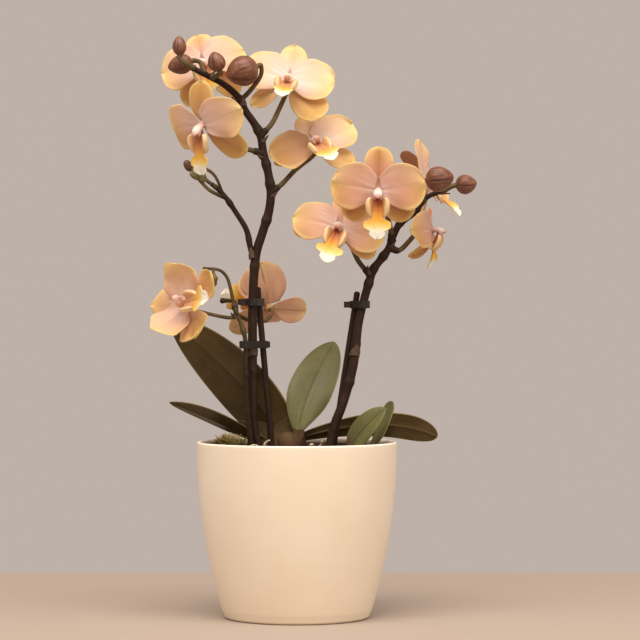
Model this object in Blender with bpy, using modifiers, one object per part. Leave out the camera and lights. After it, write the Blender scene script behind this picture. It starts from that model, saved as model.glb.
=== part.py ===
"""A moth orchid in a round cover pot: two flower spikes and a lower side stem tied to
stakes, ten open blooms, seven buds and six leaves, in a growing pot filled with bark.
Metres, +Z up, origin at the centre of the cover pot's foot. +X is right, -Y is front."""

import math
import random
from types import SimpleNamespace

import bmesh
import bpy
from mathutils import Matrix, Vector

# Driving sizes
GAP = 0.00035  # between pieces that touch
HOLE_PLAY = 0.0009  # round a stem in its hole in the bark
POT_HEIGHT = 0.114
POT_RIM_RADIUS = 0.065
POT_FOOT_RADIUS = 0.0472
POT_WALL = 0.0022
GROWING_POT_RIM_RADIUS = 0.0595
GROWING_POT_FOOT_RADIUS = 0.0415
GROWING_POT_HEIGHT = 0.104
GROWING_POT_WALL = 0.0011
MEDIUM_TOP = 0.110
BARK_CHIPS = 24
SPIKE_RADIUS = 0.0030
LOW_SPIKE_RADIUS = 0.0021
SIDE_BRANCH_RADIUS = 0.0020
STAKE_RADIUS = 0.0020
PEDICEL_RADIUS = 0.0016
TEPAL_THICKNESS = 0.0007
LIP_THICKNESS = 0.0009
LEAF_THICKNESS = 0.0016
HUB_RADIUS = 0.0034
BLUNT_TIP = 0.09  # the narrowest a blade gets, as a share of its half-width
SEED = 11


def remove_everything():
    for item in list(bpy.data.objects):
        bpy.data.objects.remove(item, do_unlink=True)


def new_collection(name, hidden=False):
    group = bpy.data.collections.new(name)
    bpy.context.scene.collection.children.link(group)
    group.hide_render = hidden
    return group


remove_everything()
ORCHID = new_collection("potted_moth_orchid")
SHAPING = new_collection("shaping_pieces", hidden=True)


# Materials


def linear(channel):
    return channel / 12.92 if channel <= 0.04045 else ((channel + 0.055) / 1.055) ** 2.4


def material(name, colour, roughness, metallic=0.0):
    made = bpy.data.materials.new(name)
    made.use_nodes = True
    shader = made.node_tree.nodes["Principled BSDF"]
    red, green, blue = (linear(int(colour[i : i + 2], 16) / 255) for i in (0, 2, 4))
    shader.inputs["Base Color"].default_value = (red, green, blue, 1)
    shader.inputs["Roughness"].default_value = roughness
    shader.inputs["Metallic"].default_value = metallic
    made.diffuse_color = (red, green, blue, 1)
    return made


CREAM_POT = material("cream_pot", "F3DBB8", 0.45)
CLEAR_BROWN_PLASTIC = material("growing_pot_plastic", "8A7A66", 0.3)
BARK = material("bark", "4A3423", 0.9)
MOSS = material("moss", "8C8A45", 0.95)
CROWN = material("crown", "7A5137", 0.6)
LEAF_GREEN = material("leaf_green", "66703F", 0.45)
LEAF_DARK = material("leaf_dark", "4D3B1E", 0.5)
STEM_BROWN = material("spike_stem", "3A261F", 0.5)
STAKE_BROWN = material("stake", "2E211C", 0.5)
CLIP_DARK = material("clip", "241C1A", 0.4)
BUD_BROWN = material("bud", "7A4A38", 0.55)
PETAL_PEACH = material("petal_peach", "E8B98A", 0.6)
LIP_ORANGE = material("lip_orange", "F2C45C", 0.55)


# Helpers: each gives one closed piece


def evaluated_mesh(piece):
    bpy.context.view_layer.update()
    graph = bpy.context.evaluated_depsgraph_get()
    return bpy.data.meshes.new_from_object(piece.evaluated_get(graph))


def helper(name, data):
    piece = bpy.data.objects.new(name, data)
    SHAPING.objects.link(piece)
    piece.display_type = "WIRE"
    piece.hide_render = True
    return piece


def node(name, mesh, look, place=None):
    """A finished piece of the plant or the pot."""
    mesh.name = name
    mesh.materials.clear()
    mesh.materials.append(look)
    mesh.shade_smooth()
    mesh.set_sharp_from_angle(angle=math.radians(45))
    piece = bpy.data.objects.new(name, mesh)
    piece.matrix_world = place or Matrix()
    ORCHID.objects.link(piece)
    return piece


def fused(pieces, operation="UNION", base=None):
    """One mesh from pieces that overlap, or from base with the pieces cut from it. It removes the helpers."""
    base, others = (base, pieces) if base else (pieces[0], pieces[1:])
    if others:
        group = bpy.data.collections.new("joined")
        SHAPING.children.link(group)
        for piece in others:
            group.objects.link(piece)
        joint = base.modifiers.new("Joined", "BOOLEAN")
        joint.operation = operation
        joint.operand_type = "COLLECTION"
        joint.collection = group
        joint.solver = "EXACT"
    mesh = evaluated_mesh(base)
    for piece in [base, *others]:
        bpy.data.objects.remove(piece, do_unlink=True)
    if others:
        bpy.data.collections.remove(group)
    return mesh


def turned(name, profile, steps, look):
    """A turned body. The profile starts on the axis, runs up the inside and comes down the outside."""
    mesh = bpy.data.meshes.new(name)
    line = bmesh.new()
    points = [line.verts.new((radius, 0, height)) for radius, height in profile]
    for first, second in zip(points, points[1:]):
        line.edges.new((first, second))
    line.to_mesh(mesh)
    line.free()
    piece = bpy.data.objects.new(name, mesh)
    ORCHID.objects.link(piece)
    mesh.materials.append(look)
    screw = piece.modifiers.new("Turned", "SCREW")
    screw.steps = steps
    screw.render_steps = steps
    screw.use_merge_vertices = True
    screw.merge_threshold = 0.00005
    screw.use_smooth_shade = True
    return piece


def through(points, step):
    """Points about a step apart on a smooth curve through the given ones."""
    points = [Vector(p) for p in points]
    ends = [2 * points[0] - points[1], *points, 2 * points[-1] - points[-2]]
    found = []
    for before, start, end, after in zip(ends, ends[1:], ends[2:], ends[3:]):
        pieces = max(1, round((end - start).length / step))
        for i in range(pieces):
            t = i / pieces
            found.append(
                0.5
                * (
                    2 * start
                    + (end - before) * t
                    + (2 * before - 5 * start + 4 * end - after) * t**2
                    + (3 * start - 3 * end + after - before) * t**3
                )
            )
    return [*found, points[-1]]


def stem(route, start_radius, end_radius, step=0.006, roundness=2, swellings=(), hold=1.0):
    """A tapering round stem along a route. A swelling is (share of the length, extra radius). With a greater
    hold the first radius is kept further up."""
    places = through(route, step)
    curve = bpy.data.curves.new("stem", "CURVE")
    curve.dimensions = "3D"
    curve.bevel_depth = 1.0
    curve.bevel_resolution = roundness
    curve.use_fill_caps = True
    spline = curve.splines.new("POLY")
    spline.points.add(len(places) - 1)
    for i, (point, place) in enumerate(zip(spline.points, places)):
        share = i / (len(places) - 1)
        extra = sum(
            most * math.exp(-(((share - at) * len(places) / 1.1) ** 2))
            for at, most in swellings
        )
        point.co = (*place, 1)
        point.radius = start_radius + (end_radius - start_radius) * share**hold + extra
    piece = bpy.data.objects.new("stem", curve)
    SHAPING.objects.link(piece)
    mesh = evaluated_mesh(piece)
    bpy.data.objects.remove(piece, do_unlink=True)
    closed = bmesh.new()
    closed.from_mesh(mesh)
    bmesh.ops.remove_doubles(closed, verts=closed.verts, dist=0.00001)
    bmesh.ops.recalc_face_normals(closed, faces=closed.faces)
    closed.to_mesh(mesh)
    closed.free()
    return helper("stem", mesh)


def blade(across, along, place, thickness):
    """A thin closed blade. place(s, t) gives a point, s from -1 to 1 across it and t from 0 to 1 along it."""
    mesh = bpy.data.meshes.new("blade")
    grid = bmesh.new()
    bmesh.ops.create_grid(grid, x_segments=across, y_segments=along, size=1.0)
    for point in grid.verts:
        point.co = place(point.co.x, (point.co.y + 1) / 2)
    bmesh.ops.triangulate(grid, faces=grid.faces)
    grid.to_mesh(mesh)
    grid.free()
    piece = helper("blade", mesh)
    solid = piece.modifiers.new("Thickness", "SOLIDIFY")
    solid.thickness = thickness
    solid.offset = 0
    return piece


def ball(centre, radii, around=10, rings=7, turn=None):
    """An egg-shaped body."""
    mesh = bpy.data.meshes.new("ball")
    sphere = bmesh.new()
    bmesh.ops.create_uvsphere(sphere, u_segments=around, v_segments=rings, radius=1.0)
    place = Matrix.Translation(centre) @ (turn or Matrix()) @ Matrix.Diagonal((*radii, 1))
    bmesh.ops.transform(sphere, matrix=place, verts=sphere.verts)
    sphere.to_mesh(mesh)
    sphere.free()
    return helper("ball", mesh)


def outline(t, root, widest, point):
    """Half-width of a blade as a share of its greatest: root at t = 0 and 1 at t = widest. The tip is round
    where point is 0.5, and sharper above that."""
    if t <= widest:
        return root + (1 - root) * math.sin(math.pi / 2 * t / widest)
    rest = (t - widest) / (1 - widest)
    return max(BLUNT_TIP, (1 - rest**2.2) ** point)


def bezier(points, t):
    """Place and direction on a cubic Bezier curve."""
    a, b, c, d = (Vector(p) for p in points)
    u = 1 - t
    place = a * u**3 + b * 3 * u**2 * t + c * 3 * u * t**2 + d * t**3
    direction = (b - a) * u**2 + (c - b) * 2 * u * t + (d - c) * t**2
    return place, direction.normalized()


# Cover pot and growing pot


def pot_radius(height):
    """The cover pot's outer radius: a full curve that closes in towards the foot."""
    share = height / POT_HEIGHT
    return POT_RIM_RADIUS - (POT_RIM_RADIUS - POT_FOOT_RADIUS) * (1 - share) ** 2.05


def cover_pot():
    foot_round = 0.0018
    floor = 0.0030
    lip = 0.0007
    heights = [0.0045, 0.014, 0.030, 0.055, 0.085, POT_HEIGHT - lip]
    outer = [(pot_radius(h), h) for h in heights]
    inner = [(pot_radius(h) - POT_WALL, h) for h in heights[1:]]
    corner = POT_FOOT_RADIUS - 0.0006
    profile = [
        (0, floor),
        (pot_radius(floor) - POT_WALL - 0.004, floor),
        (pot_radius(0.006) - POT_WALL, 0.006),
        *inner,
        (POT_RIM_RADIUS - POT_WALL + lip, POT_HEIGHT),
        (POT_RIM_RADIUS - lip, POT_HEIGHT),
        *reversed(outer),
        (corner + 0.0004, foot_round),
        (corner - foot_round, 0),
        (0, 0),
    ]
    return turned("cover_pot", profile, 32, CREAM_POT)


def growing_pot():
    base = 0.0030 + GAP
    top = base + GROWING_POT_HEIGHT
    wall = GROWING_POT_WALL
    foot, rim = GROWING_POT_FOOT_RADIUS, GROWING_POT_RIM_RADIUS
    collar = 0.0012
    profile = [
        (0, base + wall),
        (foot - wall, base + wall),
        (rim - wall, top),
        (rim + collar, top),
        (rim + collar, top - 0.004),
        (rim - 0.0006, top - 0.004),
        (foot, base),
        (0, base),
    ]
    return turned("growing_pot", profile, 24, CLEAR_BROWN_PLASTIC)


# The plant's stems, as routes of points chosen by hand

LEFT_SPIKE = [
    (-0.0235, -0.001, 0.098),
    (-0.0245, -0.001, 0.1071),
    (-0.0260, -0.001, 0.1143),
    (-0.0278, -0.001, 0.1215),
    (-0.0287, -0.001, 0.1410),
    (-0.0289, 0.0, 0.1735),
    (-0.0288, 0.0, 0.1995),
    (-0.0279, -0.001, 0.2222),
    (-0.0262, -0.002, 0.2371),
    (-0.0226, -0.003, 0.2488),
    (-0.0184, -0.004, 0.2624),
    (-0.0169, -0.005, 0.2740),
    (-0.0182, -0.006, 0.2863),
    (-0.0217, -0.007, 0.3017),
    (-0.0235, -0.008, 0.3120),
    (-0.0273, -0.009, 0.3197),
    (-0.0331, -0.010, 0.3280),
    (-0.0365, -0.011, 0.3351),
    (-0.0424, -0.012, 0.3414),
    (-0.0489, -0.013, 0.3462),
    (-0.0546, -0.014, 0.3490),
    (-0.0591, -0.015, 0.3512),
    (-0.0632, -0.016, 0.3531),
    (-0.0687, -0.017, 0.3564),
]
SIDE_BRANCH = [
    (-0.0270, -0.0015, 0.2290),
    (-0.0301, -0.003, 0.2397),
    (-0.0327, -0.004, 0.2514),
    (-0.0394, -0.006, 0.2626),
    (-0.0455, -0.008, 0.2716),
    (-0.0500, -0.009, 0.2767),
    (-0.0550, -0.010, 0.2808),
]
LOW_SPIKE = [
    (-0.0285, -0.007, 0.098),
    (-0.0290, -0.007, 0.1075),
    (-0.0300, -0.007, 0.1153),
    (-0.0316, -0.007, 0.1315),
    (-0.0327, -0.007, 0.1464),
    (-0.0330, -0.007, 0.1639),
    (-0.0334, -0.007, 0.1801),
    (-0.0359, -0.007, 0.1898),
    (-0.0390, -0.008, 0.1975),
    (-0.0412, -0.009, 0.2059),
    (-0.0432, -0.010, 0.2150),
    (-0.0451, -0.0105, 0.2205),
    (-0.0483, -0.011, 0.2243),
    (-0.0525, -0.0115, 0.2259),
    (-0.0573, -0.012, 0.2262),
    (-0.0608, -0.012, 0.2266),
]
RIGHT_SPIKE = [
    (0.0205, -0.008, 0.098),
    (0.0208, -0.008, 0.1076),
    (0.0221, -0.008, 0.1147),
    (0.0247, -0.008, 0.1257),
    (0.0292, -0.008, 0.1374),
    (0.0334, -0.008, 0.1510),
    (0.0367, -0.008, 0.1645),
    (0.0382, -0.008, 0.1768),
    (0.0399, -0.008, 0.1911),
    (0.0431, -0.008, 0.2046),
    (0.0464, -0.008, 0.2163),
    (0.0496, -0.008, 0.2257),
    (0.0541, -0.008, 0.2318),
    (0.0590, -0.008, 0.2386),
    (0.0614, -0.008, 0.2448),
    (0.0640, -0.008, 0.2509),
    (0.0671, -0.008, 0.2559),
    (0.0723, -0.008, 0.2596),
    (0.0771, -0.008, 0.2638),
    (0.0807, -0.008, 0.2684),
    (0.0845, -0.008, 0.2726),
    (0.0900, -0.008, 0.2750),
    (0.0960, -0.008, 0.2766),
]
LEFT_STAKE = [(-0.0152, 0.0052, 0.096), (-0.0257, 0.0052, 0.2145)]
RIGHT_STAKE = [(0.0215, -0.0006, 0.096), (0.0392, -0.0040, 0.2115)]


# Blooms. Each has its centre, the way it faces (azimuth to the right of front, then upwards), its roll
# clockwise as seen from the front, its size as a share of the usual bloom, and how far its tepals lean back.
# Some have tepals of their own kind, given as degrees of swing, extra bend back and share of the usual width,
# and a lip that swings forward by some degrees.


def bloom_spot(centre, azimuth, upwards, roll, size=1.0, lean=0.0, lip=0, **moved):
    turn = (
        Matrix.Rotation(math.radians(azimuth), 4, "Z")
        @ Matrix.Rotation(math.radians(-upwards), 4, "X")
        @ Matrix.Rotation(math.radians(roll), 4, "Y")
    )
    place = Matrix.Translation(centre) @ turn @ Matrix.Scale(size, 4)
    return SimpleNamespace(place=place, size=size, lean=lean, lip=lip, moved=moved)


BLOOMS = [
    bloom_spot((-0.0611, 0.012, 0.3602), -8, 18, -16, 1.0, 0.20, right_petal=(4, 0.1, 1)),
    bloom_spot((-0.0058, 0.002, 0.3487), 2, 26, 12, 1.0, -0.13),
    bloom_spot(
        (-0.0604, -0.028, 0.3180), -34, -24, 2, 1.0, 0.20,
        left_petal=(16, 0, 1), lower_right=(16, -0.15, 1),
    ),
    bloom_spot(
        (0.0112, 0.004, 0.3075), 2, 34, -24, 1.0, -0.03,
        upper_sepal=(-14, 0, 1), lower_left=(-46, 0, 0.7), left_petal=(6, 0, 0.95),
    ),
    bloom_spot((0.0521, -0.034, 0.2755), -3, -8, 1),
    bloom_spot(
        (0.0270, -0.016, 0.2525), 2, 20, 18, 1.0, 0.04,
        left_petal=(12, 0, 0.88), lower_left=(-34, 0, 0.8), lower_right=(34, 0.1, 0.9),
    ),
    bloom_spot(
        (0.0872, 0.002, 0.2516), 78, 8, 0, 0.86, 0.28, lip=-40,
        left_petal=(10, 0.1, 0.9), lower_left=(20, 0.4, 1), lower_right=(-20, 0.4, 1),
    ),
    bloom_spot(
        (0.0843, 0.026, 0.2831), 66, 8, -2, 0.97, 0.26, lip=22,
        upper_sepal=(0, 0.34, 1), left_petal=(-77, -0.3, 0.9), lower_left=(0, 0, 1),
    ),
    bloom_spot(
        (-0.0713, -0.024, 0.2022), -40, 18, -92, 0.98, -0.30,
        right_petal=(0, -0.36, 0.75), left_petal=(-12, -0.4, 0.9),
        lower_left=(-16, 0, 1.25), lower_right=(8, 0, 1),
    ),
    bloom_spot(
        (-0.0193, 0.026, 0.2016), 203, 22, -96, 1.0, -0.20,
        left_petal=(0, -0.85, 0.8), lower_right=(0, -0.5, 1), right_petal=(-30, -0.15, 1),
    ),
]

# Sepals lie behind the petals, and one lower sepal behind the other, so that the layers stay apart.
SEPAL = dict(root=0.12, widest=0.61, curl=0.13, cup=-0.10, wave=0)
PETAL = dict(root=0.36, widest=0.54, curl=0.06, cup=0.10, wave=0.0004)
TEPALS = {
    "upper_sepal": SimpleNamespace(angle=90, length=0.0260, width=0.0180, depth=0.0009, **SEPAL),
    "lower_left": SimpleNamespace(angle=230, length=0.0275, width=0.0170, depth=0.0009, **SEPAL),
    "lower_right": SimpleNamespace(angle=310, length=0.0275, width=0.0170, depth=0.0021, **SEPAL),
    "left_petal": SimpleNamespace(angle=170, length=0.0285, width=0.0310, depth=-0.0006, **PETAL),
    "right_petal": SimpleNamespace(angle=10, length=0.0285, width=0.0310, depth=-0.0006, **PETAL),
}
TEPAL_START = 0.0020  # from the bloom's centre, inside the hub
LIP_HINGE = (0, -0.0055, -0.0040)  # under the column


def bent(length, bend, t):
    """How far out and how far back a strip of this length reaches at t when it bends back evenly."""
    if abs(bend) < 0.001:
        return length * t, 0.0
    turn = 2 * bend
    return length * math.sin(turn * t) / turn, length * (1 - math.cos(turn * t)) / turn


def tepal(name, spot):
    """One sepal or petal of a bloom that faces -Y."""
    shape = TEPALS[name]
    swing, more, share = spot.moved.get(name, (0, 0, 1))
    turn = math.radians(shape.angle + swing)
    outward = Vector((math.cos(turn), 0, math.sin(turn)))
    sideways = Vector((-math.sin(turn), 0, math.cos(turn)))

    def place(s, t):
        t = 1 - (1 - t) ** 1.4
        half = share * shape.width / 2 * outline(t, shape.root, shape.widest, 0.5)
        out, back = bent(shape.length, shape.curl + spot.lean + more, t)
        back += shape.wave * math.sin(9 * t + 2 * s) * s**2 - shape.cup * half * s**2
        flat = outward * (TEPAL_START + out) + sideways * (s * half)
        return flat + Vector((0, shape.depth + back, 0))

    return blade(3, 5 if shape.wave else 4, place, TEPAL_THICKNESS)


def lip_midlobe():
    """The lip's middle lobe: down and forward from the column's foot, with two wings and a round tip."""
    spine = [(0, -0.0045, -0.0030), (0, -0.0060, -0.0130), (0, -0.0125, -0.0210), (0, -0.0085, -0.0300)]
    waist, wing, end = 0.0024, 0.0088, 0.0050

    def place(s, t):
        point, direction = bezier(spine, t)
        half = waist + (wing - waist) * math.exp(-(((t - 0.70) / 0.13) ** 2))
        half += (end - waist) * math.exp(-(((t - 0.92) / 0.12) ** 2)) * 0.9
        half *= 1 if t < 0.95 else 0.72
        forward = direction.cross(Vector((1, 0, 0))).normalized()
        return point + Vector((s * half, 0, 0)) + forward * (half * 0.28 * (s**2))

    return blade(4, 4, place, LIP_THICKNESS)


def lip_side_lobe(side):
    """One of the two lobes that stand up beside the column."""

    def place(s, t):
        half = 0.0026 + 0.0026 * math.sin(math.pi * min(1, t * 1.05) ** 0.8)
        across = side * (0.0014 + 0.0060 * math.sin(math.pi / 2 * t))
        return Vector((across, -0.0062 - 0.0040 * t**2, -0.0105 + s * half))

    return blade(2, 2, place, LIP_THICKNESS)


def bloom(number, spot):
    """Two nodes: the five tepals on their hub, and the lip with the column in front of it."""
    hub = ball((0, 0.0010, 0), (HUB_RADIUS,) * 3, 6, 4)
    tepals = fused([hub, *(tepal(name, spot) for name in TEPALS)])
    node(f"bloom_{number:02d}_tepals", tepals, PETAL_PEACH, spot.place)
    column_back = 0.0010 - HUB_RADIUS - GAP
    column = ball((0, column_back - 0.0042, -0.0012), (0.0031, 0.0042, 0.0033), 7, 4)
    lobes = [lip_midlobe(), lip_side_lobe(-1), lip_side_lobe(1)]
    hinge = Matrix.Translation(LIP_HINGE)
    swing = hinge @ Matrix.Rotation(math.radians(-spot.lip), 4, "X") @ hinge.inverted()
    for lobe in lobes:
        lobe.data.transform(swing)
    node(f"bloom_{number:02d}_lip", fused([column, *lobes]), LIP_ORANGE, spot.place)


def back_of(spot, beyond=0.0):
    """A point behind the bloom's hub, a little clear of it or further back."""
    return spot.place @ Vector((0, 0.0010 + HUB_RADIUS + (GAP + beyond) / spot.size, 0))


# Buds: centre, the way the tip points, length and width


def bud_spot(centre, axis, length, width):
    return SimpleNamespace(
        centre=Vector(centre), axis=Vector(axis).normalized(), length=length, width=width
    )


BUDS = {
    "bud_top": bud_spot((-0.0753, -0.020, 0.3692), (-0.05, 0, 1), 0.0125, 0.0087),
    "bud_top_left": bud_spot((-0.0755, -0.006, 0.3585), (-0.9, 0, -0.25), 0.0165, 0.0125),
    "bud_top_middle": bud_spot((-0.0514, -0.024, 0.3586), (-0.35, -0.1, 1), 0.0130, 0.0112),
    "bud_top_large": bud_spot((-0.0350, -0.024, 0.3524), (-0.9, -0.2, -0.3), 0.0212, 0.0190),
    "bud_right_large": bud_spot((0.0918, -0.022, 0.2836), (1, -0.1, 0.15), 0.0182, 0.0158),
    "bud_right_tip": bud_spot((0.1095, -0.009, 0.2808), (1, 0, 0.12), 0.0138, 0.0124),
    "bud_side_branch": bud_spot((-0.0640, -0.011, 0.2880), (-0.75, 0, 0.65), 0.0110, 0.0085),
}


def bud(name, spot):
    """A closed bud: an egg with a slight point and three soft ribs."""
    mesh = bpy.data.meshes.new(name)
    egg = bmesh.new()
    bmesh.ops.create_uvsphere(egg, u_segments=12, v_segments=5, radius=1.0)
    for point in egg.verts:
        x, y, z = point.co
        narrow = 1 - 0.18 * z - 0.08 * z**2
        rib = 1 + 0.05 * math.cos(3 * math.atan2(y, x))
        point.co = Vector((x * narrow * rib, y * narrow * rib, z))
    scale = Matrix.Diagonal((spot.width / 2, spot.width / 2, spot.length / 2, 1))
    bmesh.ops.transform(egg, matrix=scale, verts=egg.verts)
    egg.to_mesh(mesh)
    egg.free()
    turn = spot.axis.to_track_quat("Z", "Y").to_matrix().to_4x4()
    node(name, mesh, BUD_BROWN, Matrix.Translation(spot.centre) @ turn)


def foot_of(spot, beyond=0.0):
    """A point at the foot of a bud, a little clear of it or further off."""
    return spot.centre - spot.axis * (spot.length / 2 + GAP + beyond)


# Flower spikes with the stalks that carry the blooms and buds


def bloom_stalk(start, bends, number, reach=0.007):
    spot = BLOOMS[number - 1]
    route = [start, *bends, back_of(spot, reach), back_of(spot)]
    return stem(route, PEDICEL_RADIUS * 1.15, PEDICEL_RADIUS, 0.007, 1)


def bud_stalk(start, bends, name, reach=0.003):
    spot = BUDS[name]
    route = [start, *bends, foot_of(spot, reach), foot_of(spot)]
    return stem(route, PEDICEL_RADIUS * 1.05, PEDICEL_RADIUS * 0.9, 0.006, 1)


def bract(place, along, outward, length, width):
    """A small scale that clasps a stem at a joint."""
    along, outward = Vector(along).normalized(), Vector(outward).normalized()
    across = along.cross(outward).normalized()

    def point(s, t):
        half = width / 2 * (1 - 0.75 * t)
        lift = outward * (0.0004 + 0.0030 * t**1.5 - 0.35 * half * s**2)
        return Vector(place) + along * (length * t) + across * (s * half) + lift

    return blade(2, 3, point, 0.0008)


def left_spike():
    joints = ((0.22, 0.0006), (0.57, 0.0006), (0.70, 0.0006), (0.78, 0.0007), (0.86, 0.0007))
    pieces = [
        stem(LEFT_SPIKE, SPIKE_RADIUS, 0.0017, 0.009, 2, joints, hold=4.0),
        stem(SIDE_BRANCH, SIDE_BRANCH_RADIUS, 0.0014, 0.009, 1),
        bloom_stalk((-0.0365, -0.011, 0.3345), [(-0.0380, 0.006, 0.3345), (-0.0450, 0.020, 0.3430)], 1),
        bloom_stalk((-0.0238, -0.008, 0.3120), [(-0.0165, -0.004, 0.3200), (-0.0115, 0.006, 0.3310)], 2),
        bloom_stalk((-0.0220, -0.007, 0.3010), [(-0.0300, -0.008, 0.3030), (-0.0400, -0.013, 0.3060)], 3),
        bloom_stalk((-0.0169, -0.005, 0.2760), [(-0.0100, -0.002, 0.2810), (-0.0010, 0.007, 0.2910)], 4),
        bud_stalk(
            (-0.0365, -0.011, 0.3345), [(-0.0295, -0.014, 0.3415), (-0.0232, -0.018, 0.3500)], "bud_top_large"
        ),
        bud_stalk((-0.0546, -0.014, 0.3490), [], "bud_top_middle", 0.002),
        bud_stalk((-0.0591, -0.015, 0.3512), [(-0.0620, -0.010, 0.3590)], "bud_top_left", 0.002),
        bud_stalk((-0.0660, -0.0165, 0.3548), [], "bud_top", 0.003),
        bud_stalk((-0.0520, -0.0095, 0.2786), [], "bud_side_branch", 0.002),
        bract((-0.0560, -0.0125, 0.3488), (0.8, 0, 0.6), (-0.4, -0.5, 0.8), 0.0095, 0.0050),
        bract((-0.0290, -0.0035, 0.2310), (-0.3, 0, 1), (0.2, -1, 0), 0.0070, 0.0045),
    ]
    node("left_spike", fused(pieces), STEM_BROWN)


def low_spike():
    joints = ((0.42, 0.0005), (0.62, 0.0005))
    pieces = [
        stem(LOW_SPIKE, LOW_SPIKE_RADIUS, 0.0011, 0.009, 1, joints),
        bloom_stalk((-0.0385, -0.008, 0.1965), [(-0.0450, -0.009, 0.1946)], 9, 0.005),
        bloom_stalk(
            (-0.0400, -0.0085, 0.2010),
            [(-0.0385, 0.001, 0.1965), (-0.0300, 0.011, 0.1925), (-0.0200, 0.0145, 0.1930)],
            10,
            0.004,
        ),
        ball((-0.0455, -0.0095, 0.2056), (0.0050, 0.0017, 0.0017), 8, 4),
        ball((-0.0534, -0.0115, 0.2208), (0.0024, 0.0022, 0.0058), 8, 5),
    ]
    node("low_spike", fused(pieces), STEM_BROWN)


def right_spike():
    joints = ((0.28, 0.0006), (0.60, 0.0006), (0.70, 0.0007))
    pieces = [
        stem(RIGHT_SPIKE, SPIKE_RADIUS, 0.0014, 0.009, 2, joints, hold=3.0),
        bloom_stalk((0.0614, -0.008, 0.2440), [(0.0600, -0.013, 0.2540)], 5),
        bloom_stalk((0.0480, -0.008, 0.2215), [(0.0400, -0.005, 0.2310), (0.0345, -0.003, 0.2420)], 6),
        bloom_stalk((0.0600, -0.008, 0.2400), [(0.0670, -0.007, 0.2385)], 7, 0.005),
        bloom_stalk((0.0780, -0.008, 0.2650), [(0.0700, 0.005, 0.2680), (0.0680, 0.022, 0.2750)], 8, 0.006),
        bud_stalk((0.0820, -0.008, 0.2700), [(0.0790, -0.014, 0.2770)], "bud_right_large", 0.002),
        bud_stalk((0.0940, -0.008, 0.2760), [], "bud_right_tip", 0.002),
        bract((0.0775, -0.0085, 0.2645), (-0.1, 0, 1), (-1, 0, 0.2), 0.0085, 0.0040),
        bract((0.0370, -0.0100, 0.1720), (0.15, 0, 1), (0, -1, 0), 0.0075, 0.0052),
    ]
    node("right_spike", fused(pieces), STEM_BROWN)


def stake(name, route):
    node(name, fused([stem(route, STAKE_RADIUS, STAKE_RADIUS, 0.02, 2)]), STAKE_BROWN)


def on_route(route, height):
    """Where a stem passes this height, from its own points."""
    for low, high in zip(route, route[1:]):
        if low[2] <= height <= high[2]:
            share = (height - low[2]) / (high[2] - low[2])
            return Vector(low).lerp(Vector(high), share)
    return Vector(route[-1])


def clip(name, height, held, left_ear, right_ear):
    """A band round the stems it holds, as (route, radius), with a flat ear at either side."""
    tall, wall = 0.0048, 0.0011
    rings = [(on_route(route, height), radius + GAP + 0.0002) for route, radius in held]
    band = bmesh.new()
    bmesh.ops.create_cone(band, cap_ends=False, segments=16, radius1=1, radius2=1, depth=tall)
    for point in band.verts:
        way = Vector((point.co.x, point.co.y, 0)).normalized()
        middle, radius = max(rings, key=lambda ring: ring[0].dot(way) + ring[1])
        spot = middle + way * radius
        point.co = (spot.x, spot.y, height + point.co.z)
    mesh = bpy.data.meshes.new(name)
    band.to_mesh(mesh)
    band.free()
    piece = helper(name, mesh)
    solid = piece.modifiers.new("Thickness", "SOLIDIFY")
    solid.thickness = wall
    solid.offset = 1
    ears = []
    for reach, sign in ((left_ear, -1), (right_ear, 1)):
        middle, radius = max(rings, key=lambda ring: sign * ring[0].x + ring[1])
        root = middle.x + sign * (radius + wall * 0.4)
        ear = bmesh.new()
        bmesh.ops.create_cube(ear, size=1.0)
        size = Vector((abs(reach - root), 0.0022, tall * 0.82))
        place = Matrix.Translation(((root + reach) / 2, middle.y, height))
        bmesh.ops.transform(ear, matrix=place @ Matrix.Diagonal((*size, 1)), verts=ear.verts)
        ear_mesh = bpy.data.meshes.new("ear")
        ear.to_mesh(ear_mesh)
        ear.free()
        ears.append(helper("ear", ear_mesh))
    node(name, fused([piece, *ears]), CLIP_DARK)


# Leaves: a curved spine, the way the upper face looks at the foot and at the tip, and the outline

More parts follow.
